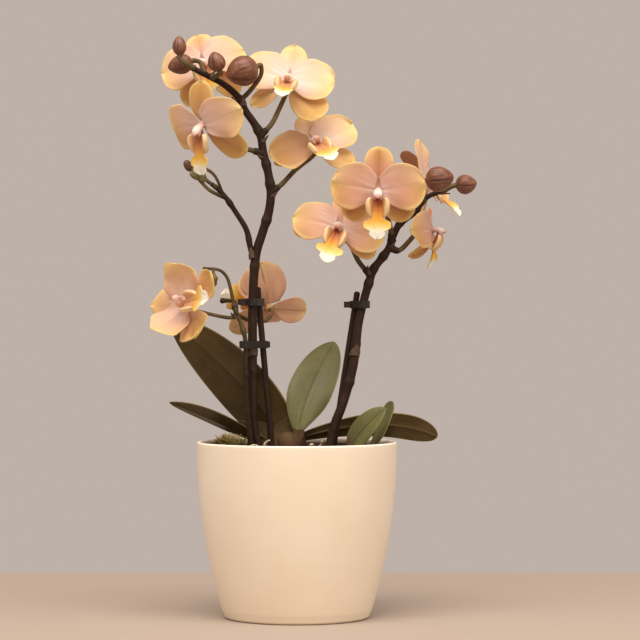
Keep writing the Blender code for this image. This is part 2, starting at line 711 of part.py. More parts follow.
LEAVES = {
    "leaf_large_left": SimpleNamespace(
        spine=[
            (-0.0070, 0.0156, 0.1128),
            (-0.0215, 0.0140, 0.1345),
            (-0.0480, 0.0110, 0.1650),
            (-0.0825, 0.0100, 0.1930),
        ],
        faces=((0.10, 1, 0.25), (0.10, 1, 0.35)),
        width=0.0365, root=0.55, widest=0.45, point=0.6, fold=0.10, slant=0.24, look=LEAF_DARK,
    ),
    "leaf_low_left": SimpleNamespace(
        spine=[
            (-0.0135, 0.0122, 0.1120),
            (-0.0300, 0.0185, 0.1145),
            (-0.0570, 0.0170, 0.1310),
            (-0.0830, 0.0080, 0.1392),
        ],
        faces=((0.2, 0.45, 1), (0.1, 0.45, 1)),
        width=0.0215, root=0.22, widest=0.60, point=0.6, fold=0.18, slant=0, look=LEAF_DARK,
    ),
    "leaf_upright_middle": SimpleNamespace(
        spine=[
            (0.0005, 0.0050, 0.1195),
            (0.0035, 0.0085, 0.1400),
            (0.0150, 0.0205, 0.1600),
            (0.0240, 0.0330, 0.1785),
        ],
        faces=((0.0, -1, 0.15), (-0.1, -1, 0.5)),
        width=0.0290, root=0.30, widest=0.46, point=0.62, fold=0.16, slant=0, look=LEAF_GREEN,
    ),
    "leaf_long_right": SimpleNamespace(
        spine=[
            (0.0022, 0.0112, 0.1160),
            (0.0300, 0.0165, 0.1245),
            (0.0660, 0.0160, 0.1285),
            (0.0915, 0.0080, 0.1170),
        ],
        faces=((0.0, 1, 0.6), (0.3, 1, 0.35)),
        width=0.0180, root=0.30, widest=0.74, point=0.5, fold=0.14, slant=0, look=LEAF_DARK,
    ),
    "leaf_front_right": SimpleNamespace(
        spine=[
            (0.0365, -0.0145, 0.1130),
            (0.0405, -0.0185, 0.1190),
            (0.0490, -0.0210, 0.1290),
            (0.0605, -0.0230, 0.1385),
        ],
        faces=((-0.3, -1, 0.7), (-0.2, -1, 0.8)),
        width=0.0165, root=0.60, widest=0.45, point=0.6, fold=0.30, slant=0, look=LEAF_GREEN,
    ),
    "leaf_narrow_right": SimpleNamespace(
        spine=[
            (0.0463, -0.0090, 0.1094),
            (0.0535, -0.0085, 0.1150),
            (0.0585, -0.0070, 0.1300),
            (0.0616, -0.0080, 0.1402),
        ],
        faces=((-1, -0.55, 0.3), (-1, -0.35, 0.3)),
        width=0.0120, root=0.55, widest=0.50, point=0.6, fold=0.25, slant=0, look=LEAF_GREEN,
    ),
}


def leaf(name, shape):
    """A strap-shaped leaf, folded a little along its middle. One side of a slanted foot starts further up."""
    foot_face, tip_face = (Vector(face).normalized() for face in shape.faces)

    def place(s, t):
        start = shape.slant * max(0, s)
        t = start + (1 - start) * (1 - (1 - t) ** 1.25)
        point, direction = bezier(shape.spine, t)
        face = foot_face.lerp(tip_face, t)
        across = direction.cross(face).normalized()
        upper = across.cross(direction).normalized()
        half = shape.width / 2 * outline(t, shape.root, shape.widest, shape.point)
        return point + across * (s * half) + upper * (shape.fold * half * abs(s))

    node(name, fused([blade(4, 8, place, LEAF_THICKNESS)]), shape.look)


# Crowns: the short stems that the leaves grow from, standing in the bark

LEFT_CROWN = ((-0.0050, 0.0085, 0.1100), (0.0088, 0.0062, 0.0110))
RIGHT_CROWN = ((0.0375, -0.0110, 0.1050), (0.0085, 0.0068, 0.0085))


def crown(name, spot):
    node(name, fused([ball(*spot, 12, 7)]), CROWN)


# Potting medium and moss

MOSS_MIDDLE = (-0.0425, -0.0120, 0.1118)


def medium():
    """Bark that fills the growing pot, with loose chips on top and plain holes for the stems and stakes."""
    chance = random.Random(SEED)
    base = 0.0030 + GAP + GROWING_POT_WALL + GAP
    slope = (GROWING_POT_RIM_RADIUS - GROWING_POT_FOOT_RADIUS) / GROWING_POT_HEIGHT
    foot = GROWING_POT_FOOT_RADIUS - GROWING_POT_WALL * 1.2 - GAP
    edge = 0.1035
    heap = bpy.data.meshes.new("heap")
    line = bmesh.new()
    profile = [
        (0, MEDIUM_TOP),
        (0.030, MEDIUM_TOP),
        (0.048, 0.1080),
        (foot + slope * (edge - base), edge),
        (foot, base),
        (0, base),
    ]
    points = [line.verts.new((radius, 0, height)) for radius, height in profile]
    for first, second in zip(points, points[1:]):
        line.edges.new((first, second))
    line.to_mesh(heap)
    line.free()
    body = helper("heap", heap)
    screw = body.modifiers.new("Turned", "SCREW")
    screw.steps = 28
    screw.render_steps = 28
    screw.use_merge_vertices = True
    screw.merge_threshold = 0.00005
    routes = [LEFT_SPIKE, LOW_SPIKE, RIGHT_SPIKE, LEFT_STAKE, RIGHT_STAKE]
    stems = [Vector(route[1][:2]) for route in routes]
    spines = [Vector(shape.spine[i][:2]) for shape in LEAVES.values() for i in (0, 1)]
    crowns = [Vector(spot[0][:2]) for spot in (LEFT_CROWN, RIGHT_CROWN)]
    cushion = Vector(MOSS_MIDDLE[:2])
    chips = []
    while len(chips) < BARK_CHIPS:
        angle, share = chance.uniform(0, 2 * math.pi), math.sqrt(chance.uniform(0.0, 1.0))
        spot = Vector((math.cos(angle), math.sin(angle))) * (0.050 * share)
        size = Vector([chance.uniform(0.0035, 0.0085) for _ in range(3)])
        size.z *= 0.6
        turn = chance.uniform(0, math.pi)
        tilts = chance.uniform(-0.35, 0.35), chance.uniform(-0.35, 0.35)
        near_stem = any((spot - place).length < 0.009 for place in stems)
        near_leaf = any((spot - place).length < 0.014 for place in spines + crowns)
        near_moss = (spot - cushion).length < 0.018
        if near_stem or near_leaf or near_moss:
            continue
        chip = bmesh.new()
        bmesh.ops.create_cube(chip, size=1.0)
        top = MEDIUM_TOP - 0.002 * share**2 + size.z * 0.28
        place = (
            Matrix.Translation((spot.x, spot.y, top))
            @ Matrix.Rotation(turn, 4, "Z")
            @ Matrix.Rotation(tilts[0], 4, "X")
            @ Matrix.Rotation(tilts[1], 4, "Y")
            @ Matrix.Diagonal((*size, 1))
        )
        bmesh.ops.transform(chip, matrix=place, verts=chip.verts)
        mesh = bpy.data.meshes.new("chip")
        chip.to_mesh(mesh)
        chip.free()
        chips.append(helper("chip", mesh))
    joined = helper("medium", fused([body, *chips]))
    holes = []
    for route, radius in (
        (LEFT_SPIKE, SPIKE_RADIUS),
        (LOW_SPIKE, LOW_SPIKE_RADIUS),
        (RIGHT_SPIKE, SPIKE_RADIUS),
        (LEFT_STAKE, STAKE_RADIUS),
        (RIGHT_STAKE, STAKE_RADIUS),
    ):
        low, high = Vector(route[0]), on_route(route, 0.118)
        floor = low - (high - low).normalized() * 0.0010
        wide = radius + HOLE_PLAY
        holes.append(stem([floor, high], wide, wide, 0.03, 2))
    for centre, radii in (LEFT_CROWN, RIGHT_CROWN):
        holes.append(ball(centre, [radius * 1.05 + GAP for radius in radii], 12, 7))
    node("potting_medium", fused(holes, "DIFFERENCE", joined), BARK)


def moss():
    """A cushion of moss on the bark at the left."""
    chance = random.Random(SEED + 1)
    middle = Vector(MOSS_MIDDLE)
    pieces = [ball(middle, (0.0085, 0.0100, 0.0030), 12, 5)]
    for _ in range(5):
        angle, share = chance.uniform(0, 2 * math.pi), math.sqrt(chance.uniform(0.05, 0.8))
        spot = middle + Vector((0.0080 * share * math.cos(angle), 0.0095 * share * math.sin(angle), 0.0016))
        pieces.append(ball(spot, (0.0022, 0.0022, chance.uniform(0.0016, 0.0030)), 6, 4))
    node("moss", fused(pieces), MOSS)


def build():
    cover_pot()
    growing_pot()
    medium()
    moss()
    crown("left_crown", LEFT_CROWN)
    crown("right_crown", RIGHT_CROWN)
    for name, shape in LEAVES.items():
        leaf(name, shape)
    left_spike()
    low_spike()
    right_spike()
    stake("left_stake", LEFT_STAKE)
    stake("right_stake", RIGHT_STAKE)
    left_held = [(LEFT_SPIKE, SPIKE_RADIUS), (LEFT_STAKE, STAKE_RADIUS)]
    clip("clip_left_upper", 0.2047, left_held, -0.0384, -0.0214)
    clip("clip_left_lower", 0.1770, [*left_held, (LOW_SPIKE, LOW_SPIKE_RADIUS)], -0.0372, -0.0175)
    right_held = [(RIGHT_SPIKE, SPIKE_RADIUS), (RIGHT_STAKE, STAKE_RADIUS)]
    clip("clip_right", 0.2030, right_held, 0.0305, 0.0470)
    for number, spot in enumerate(BLOOMS, 1):
        bloom(number, spot)
    for name, spot in BUDS.items():
        bud(name, spot)
    for child in list(SHAPING.children):
        bpy.data.collections.remove(child)


build()
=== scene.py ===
"""A potted moth orchid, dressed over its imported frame: cover pot, growing pot, bark and moss, crowns, leaves,
flower spikes, stakes, clips, blooms and buds, in the order in which the plant is potted and grows."""

import random
from math import cos, exp, hypot, pi, radians, sin, sqrt
from types import SimpleNamespace

import bmesh
import bpy
from mathutils import Matrix, Vector, noise


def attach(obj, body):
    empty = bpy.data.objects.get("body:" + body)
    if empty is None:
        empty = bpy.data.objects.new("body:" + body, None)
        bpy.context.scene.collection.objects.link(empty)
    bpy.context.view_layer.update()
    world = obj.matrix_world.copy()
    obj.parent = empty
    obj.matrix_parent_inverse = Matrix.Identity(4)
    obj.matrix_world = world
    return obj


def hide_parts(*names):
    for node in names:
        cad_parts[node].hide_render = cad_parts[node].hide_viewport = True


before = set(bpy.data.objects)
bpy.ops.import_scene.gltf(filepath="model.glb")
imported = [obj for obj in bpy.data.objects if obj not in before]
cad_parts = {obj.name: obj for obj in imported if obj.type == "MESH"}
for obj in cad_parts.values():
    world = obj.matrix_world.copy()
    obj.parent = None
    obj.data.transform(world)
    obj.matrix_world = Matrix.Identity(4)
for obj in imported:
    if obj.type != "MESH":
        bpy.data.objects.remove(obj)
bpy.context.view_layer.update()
scene = bpy.context.scene


# Studio: a long lens at mid-height looks level at the plant. A pale floor, one wide soft lamp high at the
# left front, two weaker ones high and low at the right and a pale surround give light that falls off to the
# right.


def linear(code, alpha=1.0):
    """An sRGB hex colour as linear light."""
    parts = [int(code[i : i + 2], 16) / 255 for i in (0, 2, 4)]
    return (*(c / 12.92 if c <= 0.04045 else ((c + 0.055) / 1.055) ** 2.4 for c in parts), alpha)


def feed(node, feeds):
    """Gives a node its inputs, by name or number: a value, a hex colour, a socket, or a node (its first
    output)."""
    for name, value in feeds.items():
        entry = node.inputs[name]
        if isinstance(value, bpy.types.Node):
            value = next(socket for socket in value.outputs if socket.enabled)
        if isinstance(value, bpy.types.NodeSocket):
            node.id_data.links.new(value, entry)
        else:
            entry.default_value = linear(value) if entry.type == "RGBA" else value


def add(tree, kind, feeds=None, stops=(), **settings):
    """Adds a node with its settings, colour stops and feeds. Shading nodes go without their "ShaderNode"."""
    made = tree.nodes.new(kind if "Node" in kind else "ShaderNode" + kind)
    for name, value in settings.items():
        setattr(made, name, value)
    for _ in stops[2:]:
        made.color_ramp.elements.new(0.5)
    for number, (place, colour) in enumerate(stops):
        stop = made.color_ramp.elements[number]
        stop.position, stop.color = place, linear(colour)
    feed(made, feeds or {})
    return made


def new_finish(name):
    """An empty material, with its tree and its surface shader."""
    made = bpy.data.materials.new(name)
    made.use_nodes = True
    return made, made.node_tree, made.node_tree.nodes["Principled BSDF"]


def as_mesh(body, name):
    """A drawn body as a plain mesh."""
    made = bpy.data.meshes.new(name)
    body.to_mesh(made)
    body.free()
    return made


scene.view_settings.view_transform = "Standard"
camera = bpy.data.objects.new("camera", bpy.data.cameras.new("camera"))
camera.data.lens, camera.data.sensor_width = 146.25, 36
camera.location, camera.rotation_euler = (0.015, -1.69, 0.193), (pi / 2, 0, 0)
scene.collection.objects.link(camera)
scene.camera = camera

for name, spot, side, watts, tint in (
    ("key_lamp", (-0.46, -0.98, 1.9), 1.4, 39, "FFF5EA"),
    ("fill_lamp", (1.1, -1.0, 0.9), 0.8, 6.0, "FFF3E4"),
    ("top_lamp", (0.4, -0.6, 1.65), 1.0, 12, "FFF6EE"),
):
    lamp = bpy.data.lights.new(name, "AREA")
    lamp.size, lamp.energy, lamp.color = side, watts, linear(tint)[:3]
    made = bpy.data.objects.new(name, lamp)
    made.location = spot
    made.rotation_euler = (Vector((0, 0, 0.2)) - Vector(spot)).to_track_quat("-Z", "Y").to_euler()
    scene.collection.objects.link(made)

world = bpy.data.worlds.new("studio")
world.use_nodes = True
feed(world.node_tree.nodes["Background"], {"Color": "CBBDB4", "Strength": 0.86})
scene.world = world

ground = bmesh.new()
bmesh.ops.create_cube(ground, size=1.0)
bmesh.ops.transform(
    ground, matrix=Matrix.Translation((0, 0, -0.0101)) @ Matrix.Diagonal((1.6, 0.6, 0.02, 1)),
    verts=ground.verts,
)
mesh = as_mesh(ground, "floor")
paint, tree, shader = new_finish("pale_matt_floor")
feed(shader, {"Base Color": "AC9D90", "Roughness": 0.9})
mesh.materials.append(paint)
floor = bpy.data.objects.new("floor", mesh)
scene.collection.objects.link(floor)


# Cover pot: one moulded pot with a satin cream coat. Its wall swells from a flat foot in a full curve and
# stands upright at a thin round rim.

POT_HEIGHT, RIM_RADIUS, FOOT_RADIUS, POT_WALL, POT_FLOOR = 0.114, 0.065, 0.0472, 0.0022, 0.003
RIM_BEAD = POT_WALL / 2


def pot_radius(height):
    return RIM_RADIUS - (RIM_RADIUS - FOOT_RADIUS) * (1 - height / POT_HEIGHT) ** 2.05


def turned(profile, steps):
    """A closed turned body from (radius, height) points that start and end on the axis."""
    body = bmesh.new()
    rings = []
    for radius, height in profile:
        if radius < 1e-7:
            rings.append([body.verts.new((0, 0, height))] * steps)
            continue
        angles = (2 * pi * i / steps for i in range(steps))
        rings.append([body.verts.new((radius * cos(a), radius * sin(a), height)) for a in angles])
    for low, high in zip(rings, rings[1:]):
        for i in range(steps):
            corners = [low[i], low[(i + 1) % steps], high[(i + 1) % steps], high[i]]
            body.faces.new(list(dict.fromkeys(corners)))
    bmesh.ops.recalc_face_normals(body, faces=body.faces)
    made = as_mesh(body, "turned")
    made.shade_smooth()
    made.set_sharp_from_angle(angle=radians(50))
    return made


def placed(name, mesh, finish, slot, *nodes):
    """A finished piece: it rides on the plant's one body and stands for these nodes."""
    mesh.name = name
    mesh.materials.clear()
    mesh.materials.append(finish)
    piece = bpy.data.objects.new(name, mesh)
    scene.collection.objects.link(piece)
    if nodes:
        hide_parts(*nodes)
    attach(piece, "root")
    return piece


def mark(mesh, name, values):
    """Keeps one number for each point of a mesh, as an attribute."""
    mesh.attributes.new(name, "FLOAT", "POINT").data.foreach_set("value", values)


def satin_cream_coat():
    """Satin lacquer on moulded plastic: even cream with a very fine orange peel. The inner wall is painted
    dark grey-brown, as shade."""
    finish, tree, shader = new_finish("satin_cream_coat")
    where = add(tree, "TexCoord").outputs["Object"]
    cloud = add(tree, "TexNoise", {"Vector": where, "Scale": 28.0, "Detail": 3.0})
    fine = add(tree, "TexNoise", {"Vector": where, "Scale": 1600.0, "Detail": 1.0})  # 0.6 mm
    scuff = add(tree, "TexNoise", {"Vector": where, "Scale": 240.0, "Detail": 4.0, "Roughness": 0.7})
    tone = add(tree, "ValToRGB", {0: cloud}, stops=[(0.3, "F0E1CA"), (0.55, "F3E5CF"), (0.75, "F5E9D5")])
    height = add(tree, "SeparateXYZ", {0: where}).outputs["Z"]
    # the top of the rim bead is painted a paler cream: a painted highlight
    rim = add(tree, "MapRange", {0: height, 1: POT_HEIGHT - 0.0016, 2: POT_HEIGHT - 0.0004})
    edge = add(tree, "Mix", {0: rim, 6: tone, 7: "FBF2E2"}, data_type="RGBA")
    foot = add(tree, "MapRange", {0: height, 2: 0.006, 3: 0.16, 4: 0.0})
    dust = add(tree, "Math", {0: foot, 1: scuff}, operation="MULTIPLY")
    colour = add(tree, "Mix", {0: dust, 6: edge, 7: "BFA07C"}, data_type="RGBA")
    # the inner wall below the rim is painted dark grey-brown: painted shade
    inside = add(tree, "Attribute", attribute_name="inside").outputs["Fac"]
    painted_inner_shade = add(tree, "ValToRGB", {0: scuff}, stops=[(0.3, "43362D"), (0.7, "66564A")])
    colour = add(tree, "Mix", {0: inside, 6: colour, 7: painted_inner_shade}, data_type="RGBA")
    gloss = add(tree, "MapRange", {0: scuff, 1: 0.3, 2: 0.75, 3: 0.38, 4: 0.5})
    peel = add(tree, "Bump", {"Strength": 0.25, "Distance": 0.00004, "Height": fine})
    feed(shader, {"Base Color": colour, "Roughness": gloss, "Normal": peel, "Specular IOR Level": 0.45})
    return finish


def pot_profile():
    outside = []
    for i in range(9):  # round corner of the foot
        angle = pi / 2 * i / 8
        outside.append((FOOT_RADIUS - 0.0024 + 0.0026 * sin(angle), 0.0022 - 0.0022 * cos(angle)))
    for i in range(47):
        height = 0.0045 + (POT_HEIGHT - RIM_BEAD - 0.0045) * i / 46
        outside.append((pot_radius(height), height))
    rim = []
    for i in range(1, 12):  # bead of the rim
        angle = pi * i / 12
        middle = RIM_RADIUS - RIM_BEAD
        rim.append((middle + RIM_BEAD * cos(angle), POT_HEIGHT - RIM_BEAD + RIM_BEAD * sin(angle)))
    inside = []
    for i in range(40):
        height = POT_HEIGHT - RIM_BEAD + (0.007 - POT_HEIGHT + RIM_BEAD) * i / 39
        inside.append((pot_radius(height) - POT_WALL, height))
    corner = [
        (pot_radius(0.005) - POT_WALL - 0.0006, 0.0048), (pot_radius(0.004) - POT_WALL - 0.003, POT_FLOOR)
    ]
    below = [(0, 0.001), (FOOT_RADIUS - 0.0072, 0.001), (FOOT_RADIUS - 0.0064, 0.0)]
    return [*below, *outside, *rim, *inside, *corner, (0, POT_FLOOR)]


shell = turned(pot_profile(), 192)
# the inner wall is marked for its painted shade
inner = []
for point in shell.vertices:
    x, y, height = point.co
    between = POT_FLOOR - 0.0005 < height < POT_HEIGHT - 0.0016
    inner.append(1.0 if between and hypot(x, y) < pot_radius(height) - 0.0018 else 0.0)
mark(shell, "inside", inner)
placed("pot_shell", shell, satin_cream_coat(), "cream_pot", "cover_pot")


# Growing pot: the thin smoky plastic pot that the orchid is sold in, vacuum-formed with a flat collar. It
# stands loose inside the cover pot and only its mouth shows.

GROWING_RIM, GROWING_FOOT, GROWING_WALL = 0.0595, 0.0415, 0.0011
GROWING_BASE, GROWING_TOP = 0.00335, 0.10735


def streaked(tree, place, stretch, detail):
    """Noise drawn out along the growth. stretch is how often it changes along each axis, in a metre or a
    blade."""
    drawn = add(tree, "Mapping", {"Vector": place, "Scale": stretch})
    return add(tree, "TexNoise", {"Vector": drawn, "Scale": 1.0, "Detail": detail})


def plain_finish(name, stops, roughness, relief, scale=1.0, detail=4.0, stretch=None, specular=0.5):
    """A finish with one pattern, which changes scale times a metre or is drawn out by stretch along the
    piece's grain. It gives the colours, the roughness within its range, and a relief of this strength and
    depth."""
    finish, tree, shader = new_finish(name)
    if stretch:
        grain = add(tree, "Attribute", attribute_name="grain").outputs["Vector"]
        pattern = streaked(tree, grain, stretch, detail)
    else:
        where = add(tree, "TexCoord").outputs["Object"]
        pattern = add(tree, "TexNoise", {"Vector": where, "Scale": scale, "Detail": detail})
    if isinstance(roughness, tuple):
        roughness = add(tree, "MapRange", {0: pattern, 3: roughness[0], 4: roughness[1]})
    tone = add(tree, "ValToRGB", {0: pattern}, stops)
    ridge = add(tree, "Bump", {"Strength": relief[0], "Distance": relief[1], "Height": pattern})
    feed(shader, {"Base Color": tone, "Roughness": roughness, "Normal": ridge})
    feed(shader, {"Specular IOR Level": specular})
    return finish


# thin translucent polypropylene: brown-grey, smooth and a little shiny, with faint water marks
SMOKY_PLASTIC = plain_finish(
    "smoky_plastic", [(0.35, "5C4D3E"), (0.7, "85755F")], (0.22, 0.48), (0.3, 0.0002), 180.0, 5.0
)


def growing_profile():
    wall = []
    for i in range(28):
        share = i / 27
        height = GROWING_BASE + GROWING_WALL + (GROWING_TOP - 0.001 - GROWING_BASE - GROWING_WALL) * share
        step = 0.0004 if int(share * 9) % 2 else 0.0  # pressed hoops
        wall.append((GROWING_FOOT + (GROWING_RIM - GROWING_FOOT) * share - GROWING_WALL - step, height))
    collar = GROWING_RIM + 0.0012
    outside = [
        (collar, GROWING_TOP - 0.0006), (collar, GROWING_TOP - 0.0035),
        (collar - 0.0006, GROWING_TOP - 0.004), (GROWING_RIM - 0.0006, GROWING_TOP - 0.004),
        (GROWING_FOOT, GROWING_BASE), (0, GROWING_BASE),
    ]
    lip = [(GROWING_RIM - GROWING_WALL + 0.0004, GROWING_TOP), (collar - 0.0005, GROWING_TOP)]
    return [(0, GROWING_BASE + GROWING_WALL), *wall, *lip, *outside]


placed(
    "growing_pot_shell", turned(growing_profile(), 96), SMOKY_PLASTIC, "growing_pot_plastic", "growing_pot"
)


# Stem routes: given from the foot up. The bark keeps clear of them, so they come before it.

LEFT_SPIKE = [
    (-0.0235, -0.001, 0.098), (-0.0245, -0.001, 0.1071), (-0.026, -0.001, 0.1143), (-0.0278, -0.001, 0.1215),
    (-0.0287, -0.001, 0.141), (-0.0289, 0.0, 0.1735), (-0.0288, 0.0, 0.1995), (-0.0279, -0.001, 0.2222),
    (-0.0262, -0.002, 0.2371), (-0.0226, -0.003, 0.2488), (-0.0184, -0.004, 0.2624),
    (-0.0169, -0.005, 0.274), (-0.0182, -0.006, 0.2863), (-0.0217, -0.007, 0.3017), (-0.0235, -0.008, 0.312),
    (-0.0273, -0.009, 0.3197), (-0.0331, -0.01, 0.328), (-0.0365, -0.011, 0.3351), (-0.0424, -0.012, 0.3414),
    (-0.0489, -0.013, 0.3462), (-0.0546, -0.014, 0.349), (-0.0591, -0.015, 0.3512),
    (-0.0632, -0.016, 0.3531), (-0.0687, -0.017, 0.3564),
]
SIDE_BRANCH = [
    (-0.027, -0.0015, 0.229), (-0.0301, -0.003, 0.2397), (-0.0327, -0.004, 0.2514),
    (-0.0394, -0.006, 0.2626), (-0.0455, -0.008, 0.2716), (-0.05, -0.009, 0.2767), (-0.055, -0.01, 0.2808),
]
LOW_SPIKE = [
    (-0.0285, -0.007, 0.098), (-0.029, -0.007, 0.1075), (-0.03, -0.007, 0.1153), (-0.0316, -0.007, 0.1315),
    (-0.0327, -0.007, 0.1464), (-0.033, -0.007, 0.1639), (-0.0334, -0.007, 0.1801),
    (-0.0359, -0.007, 0.1898), (-0.039, -0.008, 0.1975), (-0.0412, -0.009, 0.2059), (-0.0432, -0.01, 0.215),
    (-0.0451, -0.0105, 0.2205), (-0.0483, -0.011, 0.2243), (-0.0525, -0.0115, 0.2259),
    (-0.0573, -0.012, 0.2262), (-0.0608, -0.012, 0.2266),
]
RIGHT_SPIKE = [
    (0.0205, -0.008, 0.098), (0.0208, -0.008, 0.1076), (0.0221, -0.008, 0.1147), (0.0247, -0.008, 0.1257),
    (0.0292, -0.008, 0.1374), (0.0334, -0.008, 0.151), (0.0367, -0.008, 0.1645), (0.0382, -0.008, 0.1768),
    (0.0399, -0.008, 0.1911), (0.0431, -0.008, 0.2046), (0.0464, -0.008, 0.2163), (0.0496, -0.008, 0.2257),
    (0.0541, -0.008, 0.2318), (0.059, -0.008, 0.2386), (0.0614, -0.008, 0.2448), (0.064, -0.008, 0.2509),
    (0.0671, -0.008, 0.2559), (0.0723, -0.008, 0.2596), (0.0771, -0.008, 0.2638), (0.0807, -0.008, 0.2684),
    (0.0845, -0.008, 0.2726), (0.09, -0.008, 0.275), (0.096, -0.008, 0.2766),
]
LEFT_STAKE = [(-0.0152, 0.0052, 0.096), (-0.0257, 0.0052, 0.2145)]
RIGHT_STAKE = [(0.0215, -0.0006, 0.096), (0.0392, -0.004, 0.2115)]
LEFT_CROWN = ((-0.005, 0.0085, 0.11), (0.0088, 0.0062, 0.011))
RIGHT_CROWN = ((0.0375, -0.011, 0.105), (0.0085, 0.0068, 0.0085))
MOSS_MIDDLE = (-0.0425, -0.012, 0.1118)


# Potting medium: graded pine bark that fills the growing pot, loose on top and heaped a little in the
# middle. The chips are broken, not cut, so each has its own flat and its own corners.

MEDIUM_TOP = 0.1095


def bark():
    """Pine bark: dark red-brown chips, paler where the layers broke, dull and rough."""
    finish, tree, shader = new_finish("pine_bark")
    where = add(tree, "TexCoord").outputs["Object"]
    # the layers show every 2 to 3 mm
    layers = add(tree, "TexNoise", {"Vector": where, "Scale": 420.0, "Detail": 6.0, "Roughness": 0.65})
    shade = add(tree, "Attribute", attribute_name="shade").outputs["Fac"]
    blend = add(tree, "Math", {0: layers, 1: 0.55, 2: -0.12}, operation="MULTIPLY_ADD")
    mixed = add(tree, "Math", {0: shade, 1: 0.55, 2: blend}, operation="MULTIPLY_ADD")
    tone = add(
        tree, "ValToRGB", {0: mixed},
        stops=[(0.1, "1E140E"), (0.38, "3D2A1C"), (0.62, "6A4A31"), (0.86, "A78460")],
    )
    rough = add(tree, "Bump", {"Strength": 0.8, "Distance": 0.0006, "Height": layers})
    feed(shader, {"Base Color": tone, "Roughness": 0.88, "Normal": rough})
    return finish


PINE_BARK = bark()


def heap_height(x, y):
    """The height of the filling's top."""
    out = hypot(x, y)
    fall = 0.0 if out < 0.03 else 0.0055 * ((out - 0.03) / 0.027) ** 1.6
    return MEDIUM_TOP - 0.0018 - fall + 0.0012 * noise.noise(Vector((x * 140, y * 140, 3.1)))


def filling():
    """The bark as one mass, with an uneven top."""
    profile = [(0, 0.005), (0.0398, 0.005)]
    profile += [(0.0398 + 0.0174 * i / 10, 0.005 + 0.098 * i / 10) for i in range(1, 11)]
    profile += [(0.057 * (1 - i / 40), 0.105) for i in range(1, 40)] + [(0, 0.105)]
    made = turned(profile, 96)
    for point in made.vertices:
        if point.co.z > 0.1045:
            point.co.z = heap_height(point.co.x, point.co.y)
    return made


def chip_shapes(count, chance):
    """Broken flat chips of about 10 mm, to be spread on the heap."""
    group = bpy.data.collections.new("chip_shapes")
    for _ in range(count):
        chip = bmesh.new()
        bmesh.ops.create_cube(chip, size=1.0)
        bmesh.ops.subdivide_edges(chip, edges=chip.edges, cuts=1, use_grid_fill=True)
        size = Vector(
            (chance.uniform(0.007, 0.012), chance.uniform(0.005, 0.009), chance.uniform(0.0022, 0.0038))
        )
        for point in chip.verts:
            jog = Vector([chance.uniform(-0.14, 0.14) for _ in range(3)])
            corner = 1.0 - 0.16 * (point.co.length / 0.87) ** 3
            point.co = (point.co * corner + jog) * size
        group.objects.link(bpy.data.objects.new("chip", as_mesh(chip, "chip")))
    return group


def new_tree(name, **sizes):
    """A node group with geometry in and out and the named sizes, the sockets that give them, and its end."""
    made = bpy.data.node_groups.new(name, "GeometryNodeTree")
    for title, kind in {"Geometry": "Geometry", **sizes}.items():
        made.interface.new_socket(title, in_out="INPUT", socket_type="NodeSocket" + kind)
    made.interface.new_socket("Geometry", in_out="OUTPUT", socket_type="NodeSocketGeometry")
    return made, add(made, "NodeGroupInput").outputs, add(made, "NodeGroupOutput")


def grown(base, tree, sizes):
    """The plain mesh that a tree makes from a base."""
    start = bpy.data.objects.new("start", base)
    scene.collection.objects.link(start)
    growth = start.modifiers.new("growth", "NODES")
    growth.node_group = tree
    for socket in tree.interface.items_tree:
        if socket.in_out == "INPUT" and socket.name in sizes:
            growth[socket.identifier] = sizes[socket.name]
    graph = bpy.context.evaluated_depsgraph_get()
    graph.update()
    made = bpy.data.meshes.new_from_object(
        start.evaluated_get(graph), preserve_all_data_layers=True, depsgraph=graph
    )
    bpy.data.objects.remove(start, do_unlink=True)
    return made


def scatter_tree():
    """Spreads shapes over a surface, more where its 'free' mark is high, each turned and sized by chance."""
    tree, given, out = new_tree(
        "scatter", Shapes="Collection", Spacing="Float", Most="Float", Tilt="Float", Smallest="Float",
        Largest="Float", Seed="Int", Finish="Material",
    )
    seed, tilt = given["Seed"], given["Tilt"]
    free = add(tree, "GeometryNodeInputNamedAttribute", {"Name": "free"}, data_type="FLOAT")
    spread = add(
        tree, "GeometryNodeDistributePointsOnFaces",
        {
            "Mesh": given["Geometry"], "Distance Min": given["Spacing"], "Density Max": given["Most"],
            "Density Factor": free, "Seed": seed,
        },
        distribute_method="POISSON",
    )
    low = add(tree, "Math", {0: tilt, 1: -1.0}, operation="MULTIPLY")
    least = add(tree, "CombineXYZ", {0: low, 1: low})
    most = add(tree, "CombineXYZ", {0: tilt, 1: tilt, 2: 6.283})
    turn = add(tree, "FunctionNodeRandomValue", {0: least, 1: most, "Seed": seed}, data_type="FLOAT_VECTOR")
    size = add(tree, "FunctionNodeRandomValue", {2: given["Smallest"], 3: given["Largest"], "Seed": seed})
    shapes = add(
        tree, "GeometryNodeCollectionInfo",
        {"Collection": given["Shapes"], "Separate Children": True, "Reset Children": True},
    )
    aimed = add(
        tree, "FunctionNodeRotateRotation", {"Rotation": spread.outputs["Rotation"], "Rotate By": turn},
        rotation_space="LOCAL",
    )
    set_out = add(
        tree, "GeometryNodeInstanceOnPoints",
        {"Points": spread, "Instance": shapes, "Pick Instance": True, "Rotation": aimed, "Scale": size},
    )
    shade = add(tree, "FunctionNodeRandomValue", {"Seed": 7})
    marked = add(
        tree, "GeometryNodeStoreNamedAttribute", {"Geometry": set_out, "Name": "shade", "Value": shade},
        domain="INSTANCE",
    )
    real = add(tree, "GeometryNodeRealizeInstances", {"Geometry": marked})
    dressed = add(tree, "GeometryNodeSetMaterial", {"Geometry": real, "Material": given["Finish"]})
    feed(out, {0: dressed})
    return tree


SCATTER = scatter_tree()


